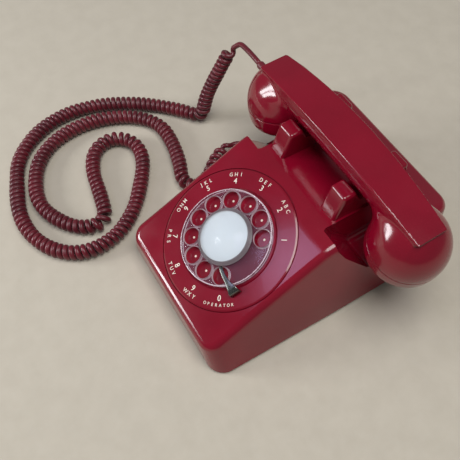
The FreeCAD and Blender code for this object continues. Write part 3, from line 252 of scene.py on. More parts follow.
NODE_MATERIALS = {
    MOULDED_RED: ("housing", "number_ring"),
    CORD_VINYL: ("cord_grommet", "handset_bushing"),
    CARD: ("number_card", "card_backing"),
    ENAMEL: ("base_plate",),
    RUBBER: ("rubber_feet", "line_grommet"),
    BLACK_PLASTIC: ("volume_wheel", "network_block", "dial_contacts", "hook_contacts", "transmitter_holder"),
    FROSTED: ("plunger_left", "plunger_right"),
    WINDING: ("ringer_coils",),
    ZINC: ("dial_chassis", "dial_bracket", "ringer_frame", "gong_posts", "hook_bracket", "hook_lever"),
    STEEL: ("housing_screws", "terminal_screws", "gong_screws", "dial_shaft", "bell_clapper"),
    BLUED: ("dial_spring",),
    BRASS: ("drive_gear", "pulse_pinion", "governor"),
    GONG: ("gong_high", "gong_low"),
    CAPSULE: ("receiver_unit", "transmitter_unit"),
}
for material, names in NODE_MATERIALS.items():
    for name in names:
        NODES[name].data.materials.clear()
        NODES[name].data.materials.append(material)


# ---------------------------------------------------------------- solids drawn as distance fields

def smooth_min(first, second, reach):
    """Union of two fields with a fillet of about that reach."""
    share = np.clip(0.5 + 0.5 * (second - first) / reach, 0, 1)
    return second * (1 - share) + first * share - reach * share * (1 - share)


def smooth_max(first, second, reach):
    """Intersection of two fields with a rounded edge of about that reach."""
    return -smooth_min(-first, -second, reach)


def field_slope(field, points, step):
    slope = np.empty_like(points)
    for axis in range(3):
        shift = np.zeros(3)
        shift[axis] = step
        slope[:, axis] = (field(points + shift) - field(points - shift)) / (2 * step)
    return slope


SLOPE_STEP = 0.05       # share of a cell over which a field's slope is measured
PULLS = 3
FLATTEST_SLOPE = 0.05


def skin_of(name, field, low, high, cell, material):
    """The closed surface where a field is zero, pulled exactly onto it and shaded by its slope."""
    axes = [np.arange(start, end + cell, cell) for start, end in zip(low, high)]
    grid = np.stack(np.meshgrid(*axes, indexing="ij"), -1)
    values = field(grid.reshape(-1, 3)).reshape(grid.shape[:3])
    volume = openvdb.FloatGrid(float(values.max()))
    volume.copyFromArray(values.astype(np.float32))
    points, quads = volume.convertToQuads(isovalue=0.0)
    points = points.astype(float) * cell + np.array(low)
    for _ in range(PULLS):
        slope = field_slope(field, points, cell * SLOPE_STEP)
        size = np.maximum((slope ** 2).sum(1), FLATTEST_SLOPE)
        points -= np.clip(field(points) / size, -cell, cell)[:, None] * slope
    normals = unit(field_slope(field, points, cell * SLOPE_STEP))
    first = points[quads]
    facing = np.cross(first[:, 1] - first[:, 0], first[:, 2] - first[:, 0])
    if (facing * normals[quads[:, 0]]).sum() < 0:
        quads = quads[:, ::-1]
    piece = mesh_object(name, points, quads, material)
    piece.data.normals_split_custom_set_from_vertices([tuple(normal) for normal in normals])
    return piece


# ---------------------------------------------------------------- handset

HANDSET_LOW, HANDSET_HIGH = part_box("handset_handle")
HANDSET_Y = (HANDSET_LOW.y + HANDSET_HIGH.y) / 2
HANDSET_CELL = 0.001
HANDSET_MARGIN = 0.004

# handle: an arch with its facet on top
ARCH_RADIUS = 0.437
ARCH_CENTRE_Z = HANDSET_HIGH.z - ARCH_RADIUS
HANDLE_SIDES = ((0.0155, 0.0), (0.0175, 0.0105), (0.0122, 0.023), (0.008, 0.0265))   # half width, depth
HANDLE_END_X = 0.0965
HANDLE_NARROWING = 0.2
TIP_LEAN = 1.3
SIDE_EDGE = 0.003
TIP_EDGE = 0.0015
FACET_EDGE = 0.0009

# cups
CUP_X = 0.0795
CUP_RIM_Z = 0.080
CUP_RADIUS = 0.030
CUP_HEIGHT = 0.0335
CUP_TILT = math.radians(12)
CUP_BLEND = (0.0015, 0.013)     # fillet to the handle at the facet and low down
CUP_BLEND_DEPTH = 0.016
RIM_EDGE = 0.0008

# screw caps
CAP_CELL = 0.0008
CAP_MARGIN = 0.003
CAP_THICK = 0.0185
CAP_ROUNDNESS = 4.6
CAP_DISH_RADIUS = 0.067
CAP_DISH_DEPTH = 0.0022
CAP_DISH_EDGE = 0.002
SEAM_GAP = 0.00015
SOUND_HOLE_RADIUS = 0.0011
SOUND_HOLE_DEPTH = 0.004
SOUND_HOLE_EDGE = 0.0003
RECEIVER_HOLES = ((0.006, 6), (0.013, 6))       # ring radius and count
TRANSMITTER_HOLES = ((0.005, 6), (0.010, 12), (0.015, 18))


def from_cup_rim(points, side):
    """Height over a cup's tilted rim plane, distance from its axis, and the two distances across it."""
    axis = np.array([side * math.sin(CUP_TILT), 0, math.cos(CUP_TILT)])
    sideways = np.array([axis[2], 0, -axis[0]])
    local = points - np.array([side * CUP_X, HANDSET_Y, CUP_RIM_Z])
    across = np.stack([local @ sideways, local[:, 1]], 1)
    return local @ axis, np.linalg.norm(across, axis=1), across


def cup_field(points, side):
    """One domed cup: an ellipsoid that stands on its tilted rim plane."""
    height, radius, _ = from_cup_rim(points, side)
    tall = np.maximum(height, 0) / CUP_HEIGHT
    wide = radius / CUP_RADIUS
    length = np.maximum(np.hypot(wide, tall), 1e-9)
    slope = np.maximum(np.hypot(wide / CUP_RADIUS, tall / CUP_HEIGHT), 1e-9)
    dome = length * (length - 1) / slope
    return smooth_max(dome, -height, RIM_EDGE)


def handle_field(points):
    """The arched handle, which narrows towards both ends, and each point's depth below its top."""
    depth = ARCH_RADIUS - np.hypot(points[:, 0], points[:, 2] - ARCH_CENTRE_Z)
    end = np.abs(points[:, 0])
    narrow = 1 - HANDLE_NARROWING * np.clip(end / HANDLE_END_X, 0, 1.1) ** 2
    across = np.abs(points[:, 1] - HANDSET_Y) / narrow
    distance = np.full_like(depth, -1.0)
    for (wide, high), (wide_next, high_next) in zip(HANDLE_SIDES, HANDLE_SIDES[1:]):
        run = np.array([wide_next - wide, high_next - high])
        run /= np.hypot(*run)
        side = (across - wide) * run[1] - (depth - high) * run[0]
        distance = smooth_max(distance, side, SIDE_EDGE)
    distance = smooth_max(distance, depth - HANDLE_SIDES[-1][1], SIDE_EDGE)
    tip = (end - HANDLE_END_X + np.maximum(depth, 0) * TIP_LEAN) / math.hypot(1, TIP_LEAN)
    return smooth_max(distance, tip, TIP_EDGE), depth


def handset_field(points):
    body, depth = handle_field(points)
    reach = CUP_BLEND[0] + (CUP_BLEND[1] - CUP_BLEND[0]) * smooth_step(depth / CUP_BLEND_DEPTH)
    for side in (-1, 1):
        body = smooth_min(body, cup_field(points, side), reach)
    return smooth_max(body, -depth, FACET_EDGE)


def make_handset():
    low = [value - HANDSET_MARGIN for value in HANDSET_LOW]
    high = [value + HANDSET_MARGIN for value in HANDSET_HIGH]
    shell = skin_of("handset_shell", handset_field, low, high, HANDSET_CELL, MOULDED_RED)
    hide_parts("handset_handle")
    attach(shell, "handset")


def make_cap(node, side, hole_rings):
    """Bowl-shaped screw cap with a dished face and rings of sound holes."""
    def cap_field(points):
        height, radius, across = from_cup_rim(points, side)
        wide = radius / CUP_RADIUS
        deep = np.abs(np.minimum(height, 0)) / CAP_THICK
        bowl = ((wide ** CAP_ROUNDNESS + deep ** CAP_ROUNDNESS) ** (1 / CAP_ROUNDNESS) - 1) * CUP_RADIUS
        cap = smooth_max(bowl, height + SEAM_GAP, RIM_EDGE)
        dish_centre = CAP_DISH_DEPTH - CAP_THICK - CAP_DISH_RADIUS
        cap = smooth_max(cap, CAP_DISH_RADIUS - np.hypot(radius, height - dish_centre), CAP_DISH_EDGE)
        for ring, count in hole_rings:
            for index in range(count):
                angle = 2 * math.pi * index / count
                centre = np.array([ring * math.cos(angle), ring * math.sin(angle)])
                hole = np.linalg.norm(across - centre, axis=1) - SOUND_HOLE_RADIUS
                hole = np.maximum(hole, height + CAP_THICK - SOUND_HOLE_DEPTH)
                cap = smooth_max(cap, -hole, SOUND_HOLE_EDGE)
        return cap

    low, high = (np.array(corner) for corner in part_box(node))
    cap = skin_of(node + "_bowl", cap_field, low - CAP_MARGIN, high + CAP_MARGIN, CAP_CELL, MOULDED_RED)
    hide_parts(node)
    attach(cap, "handset")


make_handset()
make_cap("receiver_cap", 1, RECEIVER_HOLES)
make_cap("transmitter_cap", -1, TRANSMITTER_HOLES)


# ---------------------------------------------------------------- dial

DIAL_ORIGIN = Vector(JOINTS["dial_spin"]["pos_m"])
FACE_NORMAL = -Vector(JOINTS["dial_spin"]["axis"]).normalized()
ACROSS = Vector((1, 0, 0))
FACE_UP = FACE_NORMAL.cross(ACROSS)
DIAL = Matrix.Translation(DIAL_ORIGIN) @ Matrix((ACROSS, FACE_UP, FACE_NORMAL)).transposed().to_4x4()
RING_TOP = -0.0042
DISH_TOP = -0.0056
HOLES = 10
FIRST_CLOCK = 42.8
HOLE_STEP = -30
HOLE_CIRCLE = 0.0296
HOLE_RADIUS = 0.0067
HOLE_EDGE = 0.0009
WHEEL_RADIUS = 0.0381
WHEEL_THICK = 0.003
WHEEL_CELL = 0.00045
WHEEL_MARGIN = 0.001        # how far the grid reaches past the rim and the back
WHEEL_ABOVE = 0.0015        # and over the face
SLAB_EDGE = 0.0005
RIM_ROUNDING = 0.0012
RIM_BEAD = (0.0009, -0.0001, 0.0008)    # how far inside the rim, height and radius
LIP_BEAD = (0.0009, 0.0001, 0.0007)     # how far outside the hole, height and radius
BEAD_BLEND = 0.0008
RIM_HIGHLIGHT_LINE = (0.0011, 0.0004)     # how far inside the rim the painted highlight line starts and ends
WALL_TOP = -0.0001


def on_clock(radius, clock, height=0.0):
    """A point of the dial's frame; clock angles run clockwise from the top, in degrees."""
    angle = math.radians(clock)
    return Vector((radius * math.sin(angle), radius * math.cos(angle), height))


def hole_distances(points):
    """Each finger hole's distance from the points, across the wheel."""
    for index in range(HOLES):
        hole = on_clock(HOLE_CIRCLE, FIRST_CLOCK + HOLE_STEP * index)
        yield np.hypot(points[:, 0] - hole.x, points[:, 1] - hole.y)


def wheel_field(points):
    """Clear disc with ten finger holes, each with a raised and rounded lip, and a rounded rim."""
    radius = np.hypot(points[:, 0], points[:, 1])
    height = points[:, 2]
    slab = smooth_max(height, -height - WHEEL_THICK, SLAB_EDGE)
    disc = smooth_max(slab, radius - WHEEL_RADIUS, RIM_ROUNDING)
    inside, lift, bead = RIM_BEAD
    rim = np.hypot(radius - (WHEEL_RADIUS - inside), height - lift) - bead
    disc = smooth_min(disc, rim, BEAD_BLEND)
    outside, lift, bead = LIP_BEAD
    for away in hole_distances(points):
        lip = np.hypot(away - (HOLE_RADIUS + outside), height - lift) - bead
        disc = smooth_min(disc, lip, BEAD_BLEND)
        disc = smooth_max(disc, HOLE_RADIUS - away, HOLE_EDGE)
    return disc


def mark_faces(piece, material, chosen):
    """Give the faces whose middles are chosen a second material."""
    piece.data.materials.append(material)
    middles = np.array([tuple(face.center) for face in piece.data.polygons])
    for face, marked in zip(piece.data.polygons, chosen(middles)):
        face.material_index = int(marked)


def on_painted_edge_highlight(points):
    """The walls of the finger holes and a line round the rim, where a lighter material paints the bright
    highlight that clear plastic shows there.
    """
    radius = np.hypot(points[:, 0], points[:, 1])
    edge = (radius > WHEEL_RADIUS - RIM_HIGHLIGHT_LINE[0]) & (radius < WHEEL_RADIUS - RIM_HIGHLIGHT_LINE[1])
    below_lip = points[:, 2] < WALL_TOP
    for away in hole_distances(points):
        edge |= below_lip & (away < HOLE_RADIUS + HOLE_EDGE)
    return edge


def make_wheel():
    reach = WHEEL_RADIUS + WHEEL_MARGIN
    low = (-reach, -reach, -WHEEL_THICK - WHEEL_MARGIN)
    high = (reach, reach, WHEEL_ABOVE)
    wheel = skin_of("clear_finger_wheel", wheel_field, low, high, WHEEL_CELL, CLEAR_WHEEL)
    # the hole walls and a line round the rim get the lighter material as a painted highlight
    mark_faces(wheel, PAINTED_EDGE_HIGHLIGHT, on_painted_edge_highlight)
    place_on_dial(wheel)
    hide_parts("finger_wheel")
    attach(wheel, "dial")


CARD_RADIUS = 0.0196
RETAINER_RADIUS = 0.0224
RETAINER_TOP = 0.0032
RETAINER_FOOT = 0.0014
RETAINER_UNDERSIDE = 0.0017
RETAINER_SEAT = 0.00005         # the skirt's foot, just over the wheel
RETAINER_BORE = CARD_RADIUS + 0.0003
EASED_TOP = ((0.0010, 0), (0.0004, 0.00005))    # how far inside the card's radius and below the top
RIDGES_FROM = CARD_RADIUS - 0.0002
RIDGES = 5
STEPS_A_RIDGE = 6
RIDGE_HEIGHT = 0.0003
SLOPE_CURVE = 1.6
TURNED_SIDES = 144


def turned_mesh(name, outline, material):
    """A closed piece turned about the dial's axis from an outline of (radius, height), from axis to axis."""
    angles = np.linspace(0, 2 * math.pi, TURNED_SIDES, endpoint=False)
    points = [(radius * math.cos(angle), radius * math.sin(angle), height)
              for radius, height in outline[1:-1] for angle in angles]
    faces = []
    for row in range(len(outline) - 3):
        for side in range(TURNED_SIDES):
            following = (side + 1) % TURNED_SIDES
            low = row * TURNED_SIDES
            high = low + TURNED_SIDES
            faces.append((low + side, high + side, high + following, low + following))
    for row, end, turn in ((0, outline[0], 1), (len(outline) - 3, outline[-1], -1)):
        points.append((0, 0, end[1]))
        for side in range(TURNED_SIDES):
            following = (side + 1) % TURNED_SIDES
            corners = (len(points) - 1, row * TURNED_SIDES + side, row * TURNED_SIDES + following)
            faces.append(corners[::turn])
    return mesh_object(name, points, faces, material)


def on_ridges(points):
    return np.hypot(points[:, 0], points[:, 1]) > RIDGES_FROM


def make_retainer():
    """Clear cap over the number card, with a ring of fine ridges round its slope."""
    slope = RETAINER_RADIUS - CARD_RADIUS
    outline = [(0, RETAINER_TOP)]
    outline += [(CARD_RADIUS - inside, RETAINER_TOP - below) for inside, below in EASED_TOP]
    steps = RIDGES * STEPS_A_RIDGE
    for step in range(steps + 1):
        share = step / steps
        fall = (RETAINER_TOP - RETAINER_FOOT) * share ** SLOPE_CURVE
        wave = RIDGE_HEIGHT * math.cos(2 * math.pi * RIDGES * share)
        outline.append((CARD_RADIUS + (slope - 0.0003) * share, RETAINER_TOP - RIDGE_HEIGHT - fall + wave))
    outline += [(RETAINER_RADIUS, RETAINER_FOOT - 0.0005), (RETAINER_RADIUS, RETAINER_SEAT),
                (RETAINER_BORE, RETAINER_SEAT), (RETAINER_BORE, RETAINER_UNDERSIDE), (0, RETAINER_UNDERSIDE)]
    retainer = turned_mesh("ridged_retainer", outline, CLEAR_CAP)
    mark_faces(retainer, RIDGED_CLEAR, on_ridges)
    retainer.data.transform(DIAL)
    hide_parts("card_retainer")
    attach(retainer, "dial")


def place_on_dial(piece):
    """Move a mesh from the dial's frame to where the dial stands."""
    mesh = piece.data
    normals = [DIAL.to_3x3() @ Vector(corner.vector) for corner in mesh.corner_normals]
    mesh.transform(DIAL)
    mesh.normals_split_custom_set(normals)


make_wheel()
make_retainer()


# ---------------------------------------------------------------- numerals, letters and dots

DIGIT_RADIUS = 0.0458
DIGIT_SIZE = 0.0062
LETTER_RADIUS = 0.0511
LETTER_SIZE = 0.0044
LETTER_PITCH = 0.0044
OPERATOR_SIZE = 0.0033
OPERATOR_PITCH = 0.0033
INK_THICK = 0.00004
LETTERS = ("", "ABC", "DEF", "GHI", "JKL", "MNO", "PRS", "TUV", "WXY", "OPERATOR")
FIRST_TURNED = 5        # from this place on, the characters' tops face the centre


def glyph_mesh(text, size, width=0.94):
    """One printed character, centred on the origin, as points and faces."""
    curve = bpy.data.curves.new("glyph", "FONT")
    curve.body = text
    curve.size = size
    curve.extrude = INK_THICK
    curve.offset = size * 0.004
    curve.align_x = "CENTER"
    curve.align_y = "CENTER"
    curve.resolution_u = 4
    holder = bpy.data.objects.new("glyph", curve)
    bpy.context.scene.collection.objects.link(holder)
    bpy.context.view_layer.update()
    mesh = bpy.data.meshes.new_from_object(holder)
    points = np.array([tuple(vertex.co) for vertex in mesh.vertices])
    faces = [tuple(face.vertices) for face in mesh.polygons]
    middle = (points.max(0) + points.min(0)) / 2
    points = (points - [middle[0], middle[1], 0]) * [width, 1, 1]
    bpy.data.objects.remove(holder)
    bpy.data.curves.remove(curve)
    bpy.data.meshes.remove(mesh)
    return points, faces


def printed_characters():
    """Every character on the ring: text, clock angle, radius, size and whether its top faces the centre."""
    for index, letters in enumerate(LETTERS):
        clock = FIRST_CLOCK + HOLE_STEP * index
        turned = index >= FIRST_TURNED
        yield str((index + 1) % HOLES), clock, DIGIT_RADIUS, DIGIT_SIZE, turned
        long_word = len(letters) > 3
        pitch = OPERATOR_PITCH if long_word else LETTER_PITCH
        size = OPERATOR_SIZE if long_word else LETTER_SIZE
        step = math.degrees(pitch / LETTER_RADIUS) * (-1 if turned else 1)
        for place, letter in enumerate(letters):
            offset = (place - (len(letters) - 1) / 2) * step
            yield letter, clock + offset, LETTER_RADIUS, size, turned


def make_numerals():
    all_points = []
    all_faces = []
    for text, clock, radius, size, turned in printed_characters():
        points, faces = glyph_mesh(text, size)
        spin = math.radians(-clock + (180 if turned else 0))
        stand = Matrix.Translation(on_clock(radius, clock, RING_TOP + INK_THICK))
        place = DIAL @ stand @ Matrix.Rotation(spin, 4, "Z")
        start = len(all_points)
        all_points += [place @ Vector(point) for point in points]
        all_faces += [tuple(start + index for index in face) for face in faces]
    numerals = mesh_object("printed_numerals", all_points, all_faces, INK, smooth=False)
    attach(numerals, "base")


DOT_RADIUS = 0.00095
DOT_SIDES = 20
DOT_RINGS = ((1.0, 0.0), (0.8, 0.00006), (0.45, 0.0001))     # share of the radius, and height


def make_dots():
    """The white dot under each finger hole: a low printed dome."""
    points = []
    faces = []
    for index in range(HOLES):
        start = len(points)
        centre = on_clock(HOLE_CIRCLE, FIRST_CLOCK + HOLE_STEP * index, DISH_TOP)
        for share, lift in DOT_RINGS:
            reach = DOT_RADIUS * share
            for side in range(DOT_SIDES):
                angle = 2 * math.pi * side / DOT_SIDES
                away = Vector((reach * math.cos(angle), reach * math.sin(angle), lift))
                points.append(DIAL @ (centre + away))
        for level in range(len(DOT_RINGS) - 1):
            for side in range(DOT_SIDES):
                low = start + level * DOT_SIDES
                high = low + DOT_SIDES
                following = (side + 1) % DOT_SIDES
                faces.append((low + side, low + following, high + following, high + side))
        faces.append([start + (len(DOT_RINGS) - 1) * DOT_SIDES + side for side in range(DOT_SIDES)])
        faces.append([start + side for side in reversed(range(DOT_SIDES))])
    dots = mesh_object("hole_dots", points, faces, INK)
    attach(dots, "base")


make_numerals()
make_dots()


# ---------------------------------------------------------------- finger stop

STOP_SECTIONS = (  # radius, clock angle, height, width, thickness along the strip from tip to foot
    (0.0229, 132.0, 0.00135, 0.0024, 0.0009), (0.0258, 129.5, 0.0014, 0.0027, 0.0009),
    (0.0296, 125.8, 0.0015, 0.0029, 0.0009), (0.0338, 121.6, 0.0016, 0.0034, 0.0009),
    (0.0374, 118.4, 0.0016, 0.0046, 0.0009), (0.0404, 116.4, 0.0014, 0.0064, 0.0009),
    (0.0428, 115.2, 0.0009, 0.0082, 0.0010), (0.0438, 114.8, -0.0008, 0.0086, 0.0011),
    (0.0443, 114.6, -0.0040, 0.0088, 0.0011))
STOP_CORNERS = (  # shares of a section's half width and half thickness
    (-1, 1), (-0.8, 1.15), (0.8, 1.15), (1, 1), (1, -1), (-1, -1))
FOOT_START = 7          # from this section on, the strip goes down and keeps its direction


def make_finger_stop():
    """Bent strip of plated steel: a narrow finger that flares into its foot."""
    centres = [on_clock(radius, clock, height) for radius, clock, height, _, _ in STOP_SECTIONS]
    count = len(STOP_CORNERS)
    last = (len(STOP_SECTIONS) - 1) * count
    points = []
    for index, (_, _, _, width, thick) in enumerate(STOP_SECTIONS):
        before = centres[max(index - 1, 0)]
        after = centres[min(index + 1, len(centres) - 1)]
        along = (after - before).normalized()
        if index < FOOT_START:
            flat = Vector((along.x, along.y, 0)).normalized()
        across = Vector((-flat.y, flat.x, 0))
        out = along.cross(across).normalized()
        for side, lift in STOP_CORNERS:
            points.append(DIAL @ (centres[index] + across * (width / 2) * side + out * (thick / 2) * lift))
    faces = []
    for low in range(0, last, count):
        for corner in range(count):
            following = (corner + 1) % count
            faces.append((low + corner, low + following, low + count + following, low + count + corner))
    faces.append([corner for corner in reversed(range(count))])
    faces.append([last + corner for corner in range(count)])
    stop = mesh_object("bent_finger_stop", points, faces, STOP_STEEL)
    bevel = stop.modifiers.new("edges", "BEVEL")
    bevel.width = 0.0002
    bevel.segments = 2
    bevel.limit_method = "ANGLE"
    bevel.angle_limit = math.radians(50)
    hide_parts("finger_stop")
    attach(stop, "base")


make_finger_stop()


# ---------------------------------------------------------------- handset cord

LEAD_ROUTE = (
    (-0.1109, 0.046, 0.097), (-0.1215, 0.046, 0.0974), (-0.1332, 0.0463, 0.096), (-0.144, 0.0465, 0.0935))
COIL_ROUTE = (
    (-0.147, 0.046, 0.093), (-0.150, 0.038, 0.080), (-0.153, 0.031, 0.064), (-0.157, 0.024, 0.047),
    (-0.160, 0.017, 0.029), (-0.159, 0.010, 0.007), (-0.177, -0.002, 0.007), (-0.198, -0.022, 0.007),
    (-0.217, -0.047, 0.007), (-0.231, -0.077, 0.007), (-0.234, -0.108, 0.007), (-0.225, -0.136, 0.007),
    (-0.206, -0.159, 0.007), (-0.177, -0.171, 0.007), (-0.148, -0.180, 0.007), (-0.119, -0.178, 0.007),
    (-0.094, -0.164, 0.007), (-0.081, -0.141, 0.007), (-0.084, -0.114, 0.007), (-0.100, -0.091, 0.007),
    (-0.123, -0.073, 0.007), (-0.146, -0.059, 0.007), (-0.168, -0.058, 0.007), (-0.183, -0.073, 0.007),
    (-0.179, -0.094, 0.007), (-0.157, -0.106, 0.007), (-0.131, -0.110, 0.007), (-0.101, -0.117, 0.007),
    (-0.106, -0.139, 0.007), (-0.127, -0.154, 0.007), (-0.151, -0.161, 0.007), (-0.176, -0.154, 0.007),
    (-0.197, -0.141, 0.007), (-0.210, -0.119, 0.007), (-0.213, -0.093, 0.007), (-0.208, -0.067, 0.007),
    (-0.194, -0.043, 0.007), (-0.173, -0.028, 0.007), (-0.148, -0.028, 0.007), (-0.122, -0.034, 0.007),
    (-0.104, -0.042, 0.007), (-0.090, -0.036, 0.007), (-0.094, -0.020, 0.007), (-0.106, -0.007, 0.007),
    (-0.113, 0.006, 0.007), (-0.115, 0.018, 0.007))
TAIL_ROUTE = ((-0.111, 0.025, 0.0076), (-0.102, 0.030, 0.0088), (-0.092, 0.031, 0.0095))
WIRE_DIAMETER = 0.0046
COIL_RADIUS = 0.0047
CLOSED_PITCH = 0.00492
POINTS_A_TURN = 16
WIRE_SIDES = 10
LINE_STEP = 0.0002
COIL_START = 0.002              # past the point of the line nearest to COIL_ROUTE's first
BEND_WINDOW = 61                # steps of the line over which its bend is averaged
MOST_CROWDED = 0.6              # share of their distance to which a bend may crowd the turns' inner sides
ENDS_OPEN = 0.016               # what the pitch grows by at both ends of the curl
OPEN_LENGTHS = (0.018, 0.014)   # over what length, at the start and at the end
TAIL_OPEN = 0.0021              # what the pitch grows by near the housing
TAIL_OPEN_LENGTHS = (0.052, 0.012)      # how far before the end that starts, and over what length
SWELL_LENGTHS = (0.014, 0.012)  # over what length the turns reach their full radius, at both ends
WOBBLE = 0.00012
HANGING_FROM = 0.012
HANGING_BLEND = 0.05
HANGING_NARROWER = 0.0002


def spline_points(route):
    """Points along the smooth line that a route's points pull into shape."""
    curve = bpy.data.curves.new("route", "CURVE")
    curve.dimensions = "3D"
    spline = curve.splines.new("NURBS")
    spline.points.add(len(route) - 1)
    for point, place in zip(spline.points, route):
        point.co = (*place, 1)
    spline.order_u = 3
    spline.use_endpoint_u = True
    spline.resolution_u = 24
    holder = new_object("route", curve)
    bpy.context.view_layer.update()
    mesh = bpy.data.meshes.new_from_object(holder)
    points = np.array([tuple(vertex.co) for vertex in mesh.vertices])
    bpy.data.objects.remove(holder)
    bpy.data.curves.remove(curve)
    bpy.data.meshes.remove(mesh)
    return points


def lengths_along(points):
    return np.concatenate([[0], np.cumsum(np.linalg.norm(np.diff(points, axis=0), axis=1))])


def at_length(points, lengths, wanted):
    return np.stack([np.interp(wanted, lengths, points[:, axis]) for axis in range(3)], 1)


def carried_frames(points):
    """At each point, a direction across the line, carried along it without twist, and the line's own."""
    along = unit(np.gradient(points, axis=0))
    across = np.empty_like(points)
    across[0] = np.cross(along[0], [0, 0, 1])
    for index in range(1, len(points)):
        kept = across[index - 1] - along[index] * (across[index - 1] @ along[index])
        across[index] = kept / np.linalg.norm(kept)
    across[0] /= np.linalg.norm(across[0])
    return across, along


def nearest_length(points, lengths, place):
    return lengths[np.argmin(np.linalg.norm(points - np.array(place), axis=1))]


def coil_line():
    """The wire's own line: straight lead, a helix worked out along the route, and straight tail."""
    rough = spline_points(LEAD_ROUTE + COIL_ROUTE[1:] + TAIL_ROUTE)
    rough_lengths = lengths_along(rough)
    total = rough_lengths[-1]
    lengths = np.arange(0, total, LINE_STEP)
    line = at_length(rough, rough_lengths, lengths)
    start = nearest_length(line, lengths, COIL_ROUTE[0]) + COIL_START
    end = nearest_length(line, lengths, COIL_ROUTE[-1])
    across, along = carried_frames(line)
    window = np.ones(BEND_WINDOW) / BEND_WINDOW
    turning = np.linalg.norm(np.gradient(along, lengths, axis=0), axis=1)
    bend = np.convolve(turning, window, "same")
    opening = 1 / np.clip(1 - COIL_RADIUS * bend, MOST_CROWDED, 1)
    pitch = np.maximum(CLOSED_PITCH, WIRE_DIAMETER * opening)
    pitch = pitch + ENDS_OPEN * smooth_step(1 - (lengths - start) / OPEN_LENGTHS[0])
    pitch = pitch + ENDS_OPEN * smooth_step(1 - (end - lengths) / OPEN_LENGTHS[1])
    pitch = pitch + TAIL_OPEN * smooth_step((lengths - (end - TAIL_OPEN_LENGTHS[0])) / TAIL_OPEN_LENGTHS[1])
    phase = np.cumsum(2 * math.pi / pitch) * LINE_STEP
    in_air = smooth_step((line[:, 2] - HANGING_FROM) / HANGING_BLEND)
    wobble = WOBBLE * (np.sin(lengths * 71) + np.sin(lengths * 173 + 1)) - 2 * WOBBLE
    radius = COIL_RADIUS - HANGING_NARROWER * in_air + wobble
    radius = radius * smooth_step((lengths - start) / SWELL_LENGTHS[0])
    radius = radius * smooth_step((end - lengths) / SWELL_LENGTHS[1])
    other = np.cross(along, across)
    turns = line + radius[:, None] * (np.cos(phase)[:, None] * across + np.sin(phase)[:, None] * other)
    wire_lengths = lengths_along(turns)
    count = int(wire_lengths[-1] / (2 * math.pi * COIL_RADIUS / POINTS_A_TURN))
    return at_length(turns, wire_lengths, np.linspace(0, wire_lengths[-1], count))


def round_wire(name, line, diameter, material):
    across, along = carried_frames(line)
    other = np.cross(along, across)
    angles = np.linspace(0, 2 * math.pi, WIRE_SIDES, endpoint=False)
    cosines = np.cos(angles)[None, :, None]
    sines = np.sin(angles)[None, :, None]
    circle = cosines * across[:, None] + sines * other[:, None]
    points = (line[:, None] + circle * diameter / 2).reshape(-1, 3)
    rows = np.arange(len(line) - 1)[:, None] * WIRE_SIDES
    sides = np.arange(WIRE_SIDES)[None]
    following = (sides + 1) % WIRE_SIDES
    ahead = rows + WIRE_SIDES
    quads = np.stack([rows + sides, rows + following, ahead + following, ahead + sides], -1)
    faces = quads.reshape(-1, 4)[:, ::-1].tolist()
    faces.append(list(range(WIRE_SIDES)))
    faces.append([len(points) - 1 - side for side in range(WIRE_SIDES)])
    return mesh_object(name, points, faces, material)


def make_cord():
    line = coil_line()
    cord = round_wire("curly_cord", line, WIRE_DIAMETER, CORD_VINYL)
    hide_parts("cord_coil", "cord_lead", "cord_tail")
    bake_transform(cord)


make_cord()


# ---------------------------------------------------------------- floor, light and camera

CAMERA_PLACE = Vector((0.20603, -0.15111, 0.46653))
CAMERA_TARGET = Vector((-0.01232, -0.02274, 0.040))
CAMERA_ROLL = math.radians(-1.88)
CAMERA_LENS = 48.7
CAMERA_SHIFT = (-0.0511, -0.0092)
SENSOR_WIDTH = 36
FLOOR_HALF = 1.6
LIGHT_TARGET = (0, 0, 0.05)
WINDOW_PLACE = (-0.64, -1.02, 0.49)
WINDOW_PANE = (0.18, 0.45)
WINDOW_SPACING = 0.12
WINDOW_SIDEWAYS = (0.85, -0.53, 0)
WINDOW_POWER = 4.5
WINDOW_COLOUR = (0.96, 0.98, 1)
CEILING_PLACE = (0.3, 0.05, 1.5)
CEILING_SIZE = (0.9, 0.9)
CEILING_POWER = 17
SKY_PLACE = (-0.41, -0.73, 1.24)
SKY_SIZE = (0.3, 0.36)
SKY_POWER = 1.1
SKY_COLOUR = (0.66, 0.62, 1)
ROOM_COLOUR = (0.97, 0.98, 1, 1)
ROOM_STRENGTH = 0.16


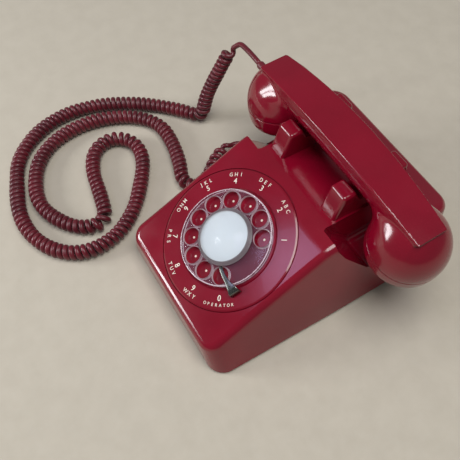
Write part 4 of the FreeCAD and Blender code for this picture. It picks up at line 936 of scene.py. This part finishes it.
def make_floor():
    corners = [(FLOOR_HALF * x, FLOOR_HALF * y, 0) for x, y in ((-1, -1), (1, -1), (1, 1), (-1, 1))]
    cloth = plain("pale_floor", linear(192, 184, 168), linear(188, 180, 164), 0.85, 300, 0.00002)
    mesh_object("floor", corners, [(0, 1, 2, 3)], cloth)


def look_at(obj, place, target, roll=0.0):
    back = (place - target).normalized()
    right = Vector((0, 0, 1)).cross(back).normalized()
    up = back.cross(right)
    turned_right = right * math.cos(roll) + up * math.sin(roll)
    turned_up = up * math.cos(roll) - right * math.sin(roll)
    turn = Matrix((turned_right, turned_up, back)).transposed()
    obj.matrix_world = Matrix.Translation(place) @ turn.to_4x4()


def make_camera():
    data = bpy.data.cameras.new("camera")
    data.lens = CAMERA_LENS
    data.sensor_width = SENSOR_WIDTH
    data.shift_x, data.shift_y = CAMERA_SHIFT
    data.clip_start = 0.01
    camera = new_object("camera", data)
    look_at(camera, CAMERA_PLACE, CAMERA_TARGET, CAMERA_ROLL)
    bpy.context.scene.camera = camera


def area_light(name, place, target, size, power, colour=(1, 1, 1)):
    data = bpy.data.lights.new(name, "AREA")
    data.shape = "RECTANGLE"
    data.size, data.size_y = size
    data.energy = power
    data.color = colour
    light = new_object(name, data)
    look_at(light, Vector(place), Vector(target))


def make_light():
    """Two tall window panes to the front left, a wide soft ceiling, a patch of sky and a dim room."""
    for pane in (-1, 1):
        place = Vector(WINDOW_PLACE) + Vector(WINDOW_SIDEWAYS) * WINDOW_SPACING * pane
        area_light(f"window{pane}", place, LIGHT_TARGET, WINDOW_PANE, WINDOW_POWER, WINDOW_COLOUR)
    area_light("ceiling", CEILING_PLACE, LIGHT_TARGET, CEILING_SIZE, CEILING_POWER)
    area_light("sky_patch", SKY_PLACE, LIGHT_TARGET, SKY_SIZE, SKY_POWER, SKY_COLOUR)
    world = bpy.data.worlds.new("studio")
    world.use_nodes = True
    background = world.node_tree.nodes["Background"]
    background.inputs["Color"].default_value = ROOM_COLOUR
    background.inputs["Strength"].default_value = ROOM_STRENGTH
    bpy.context.scene.world = world
    bpy.context.scene.view_settings.view_transform = "Standard"


make_floor()
make_light()
make_camera()
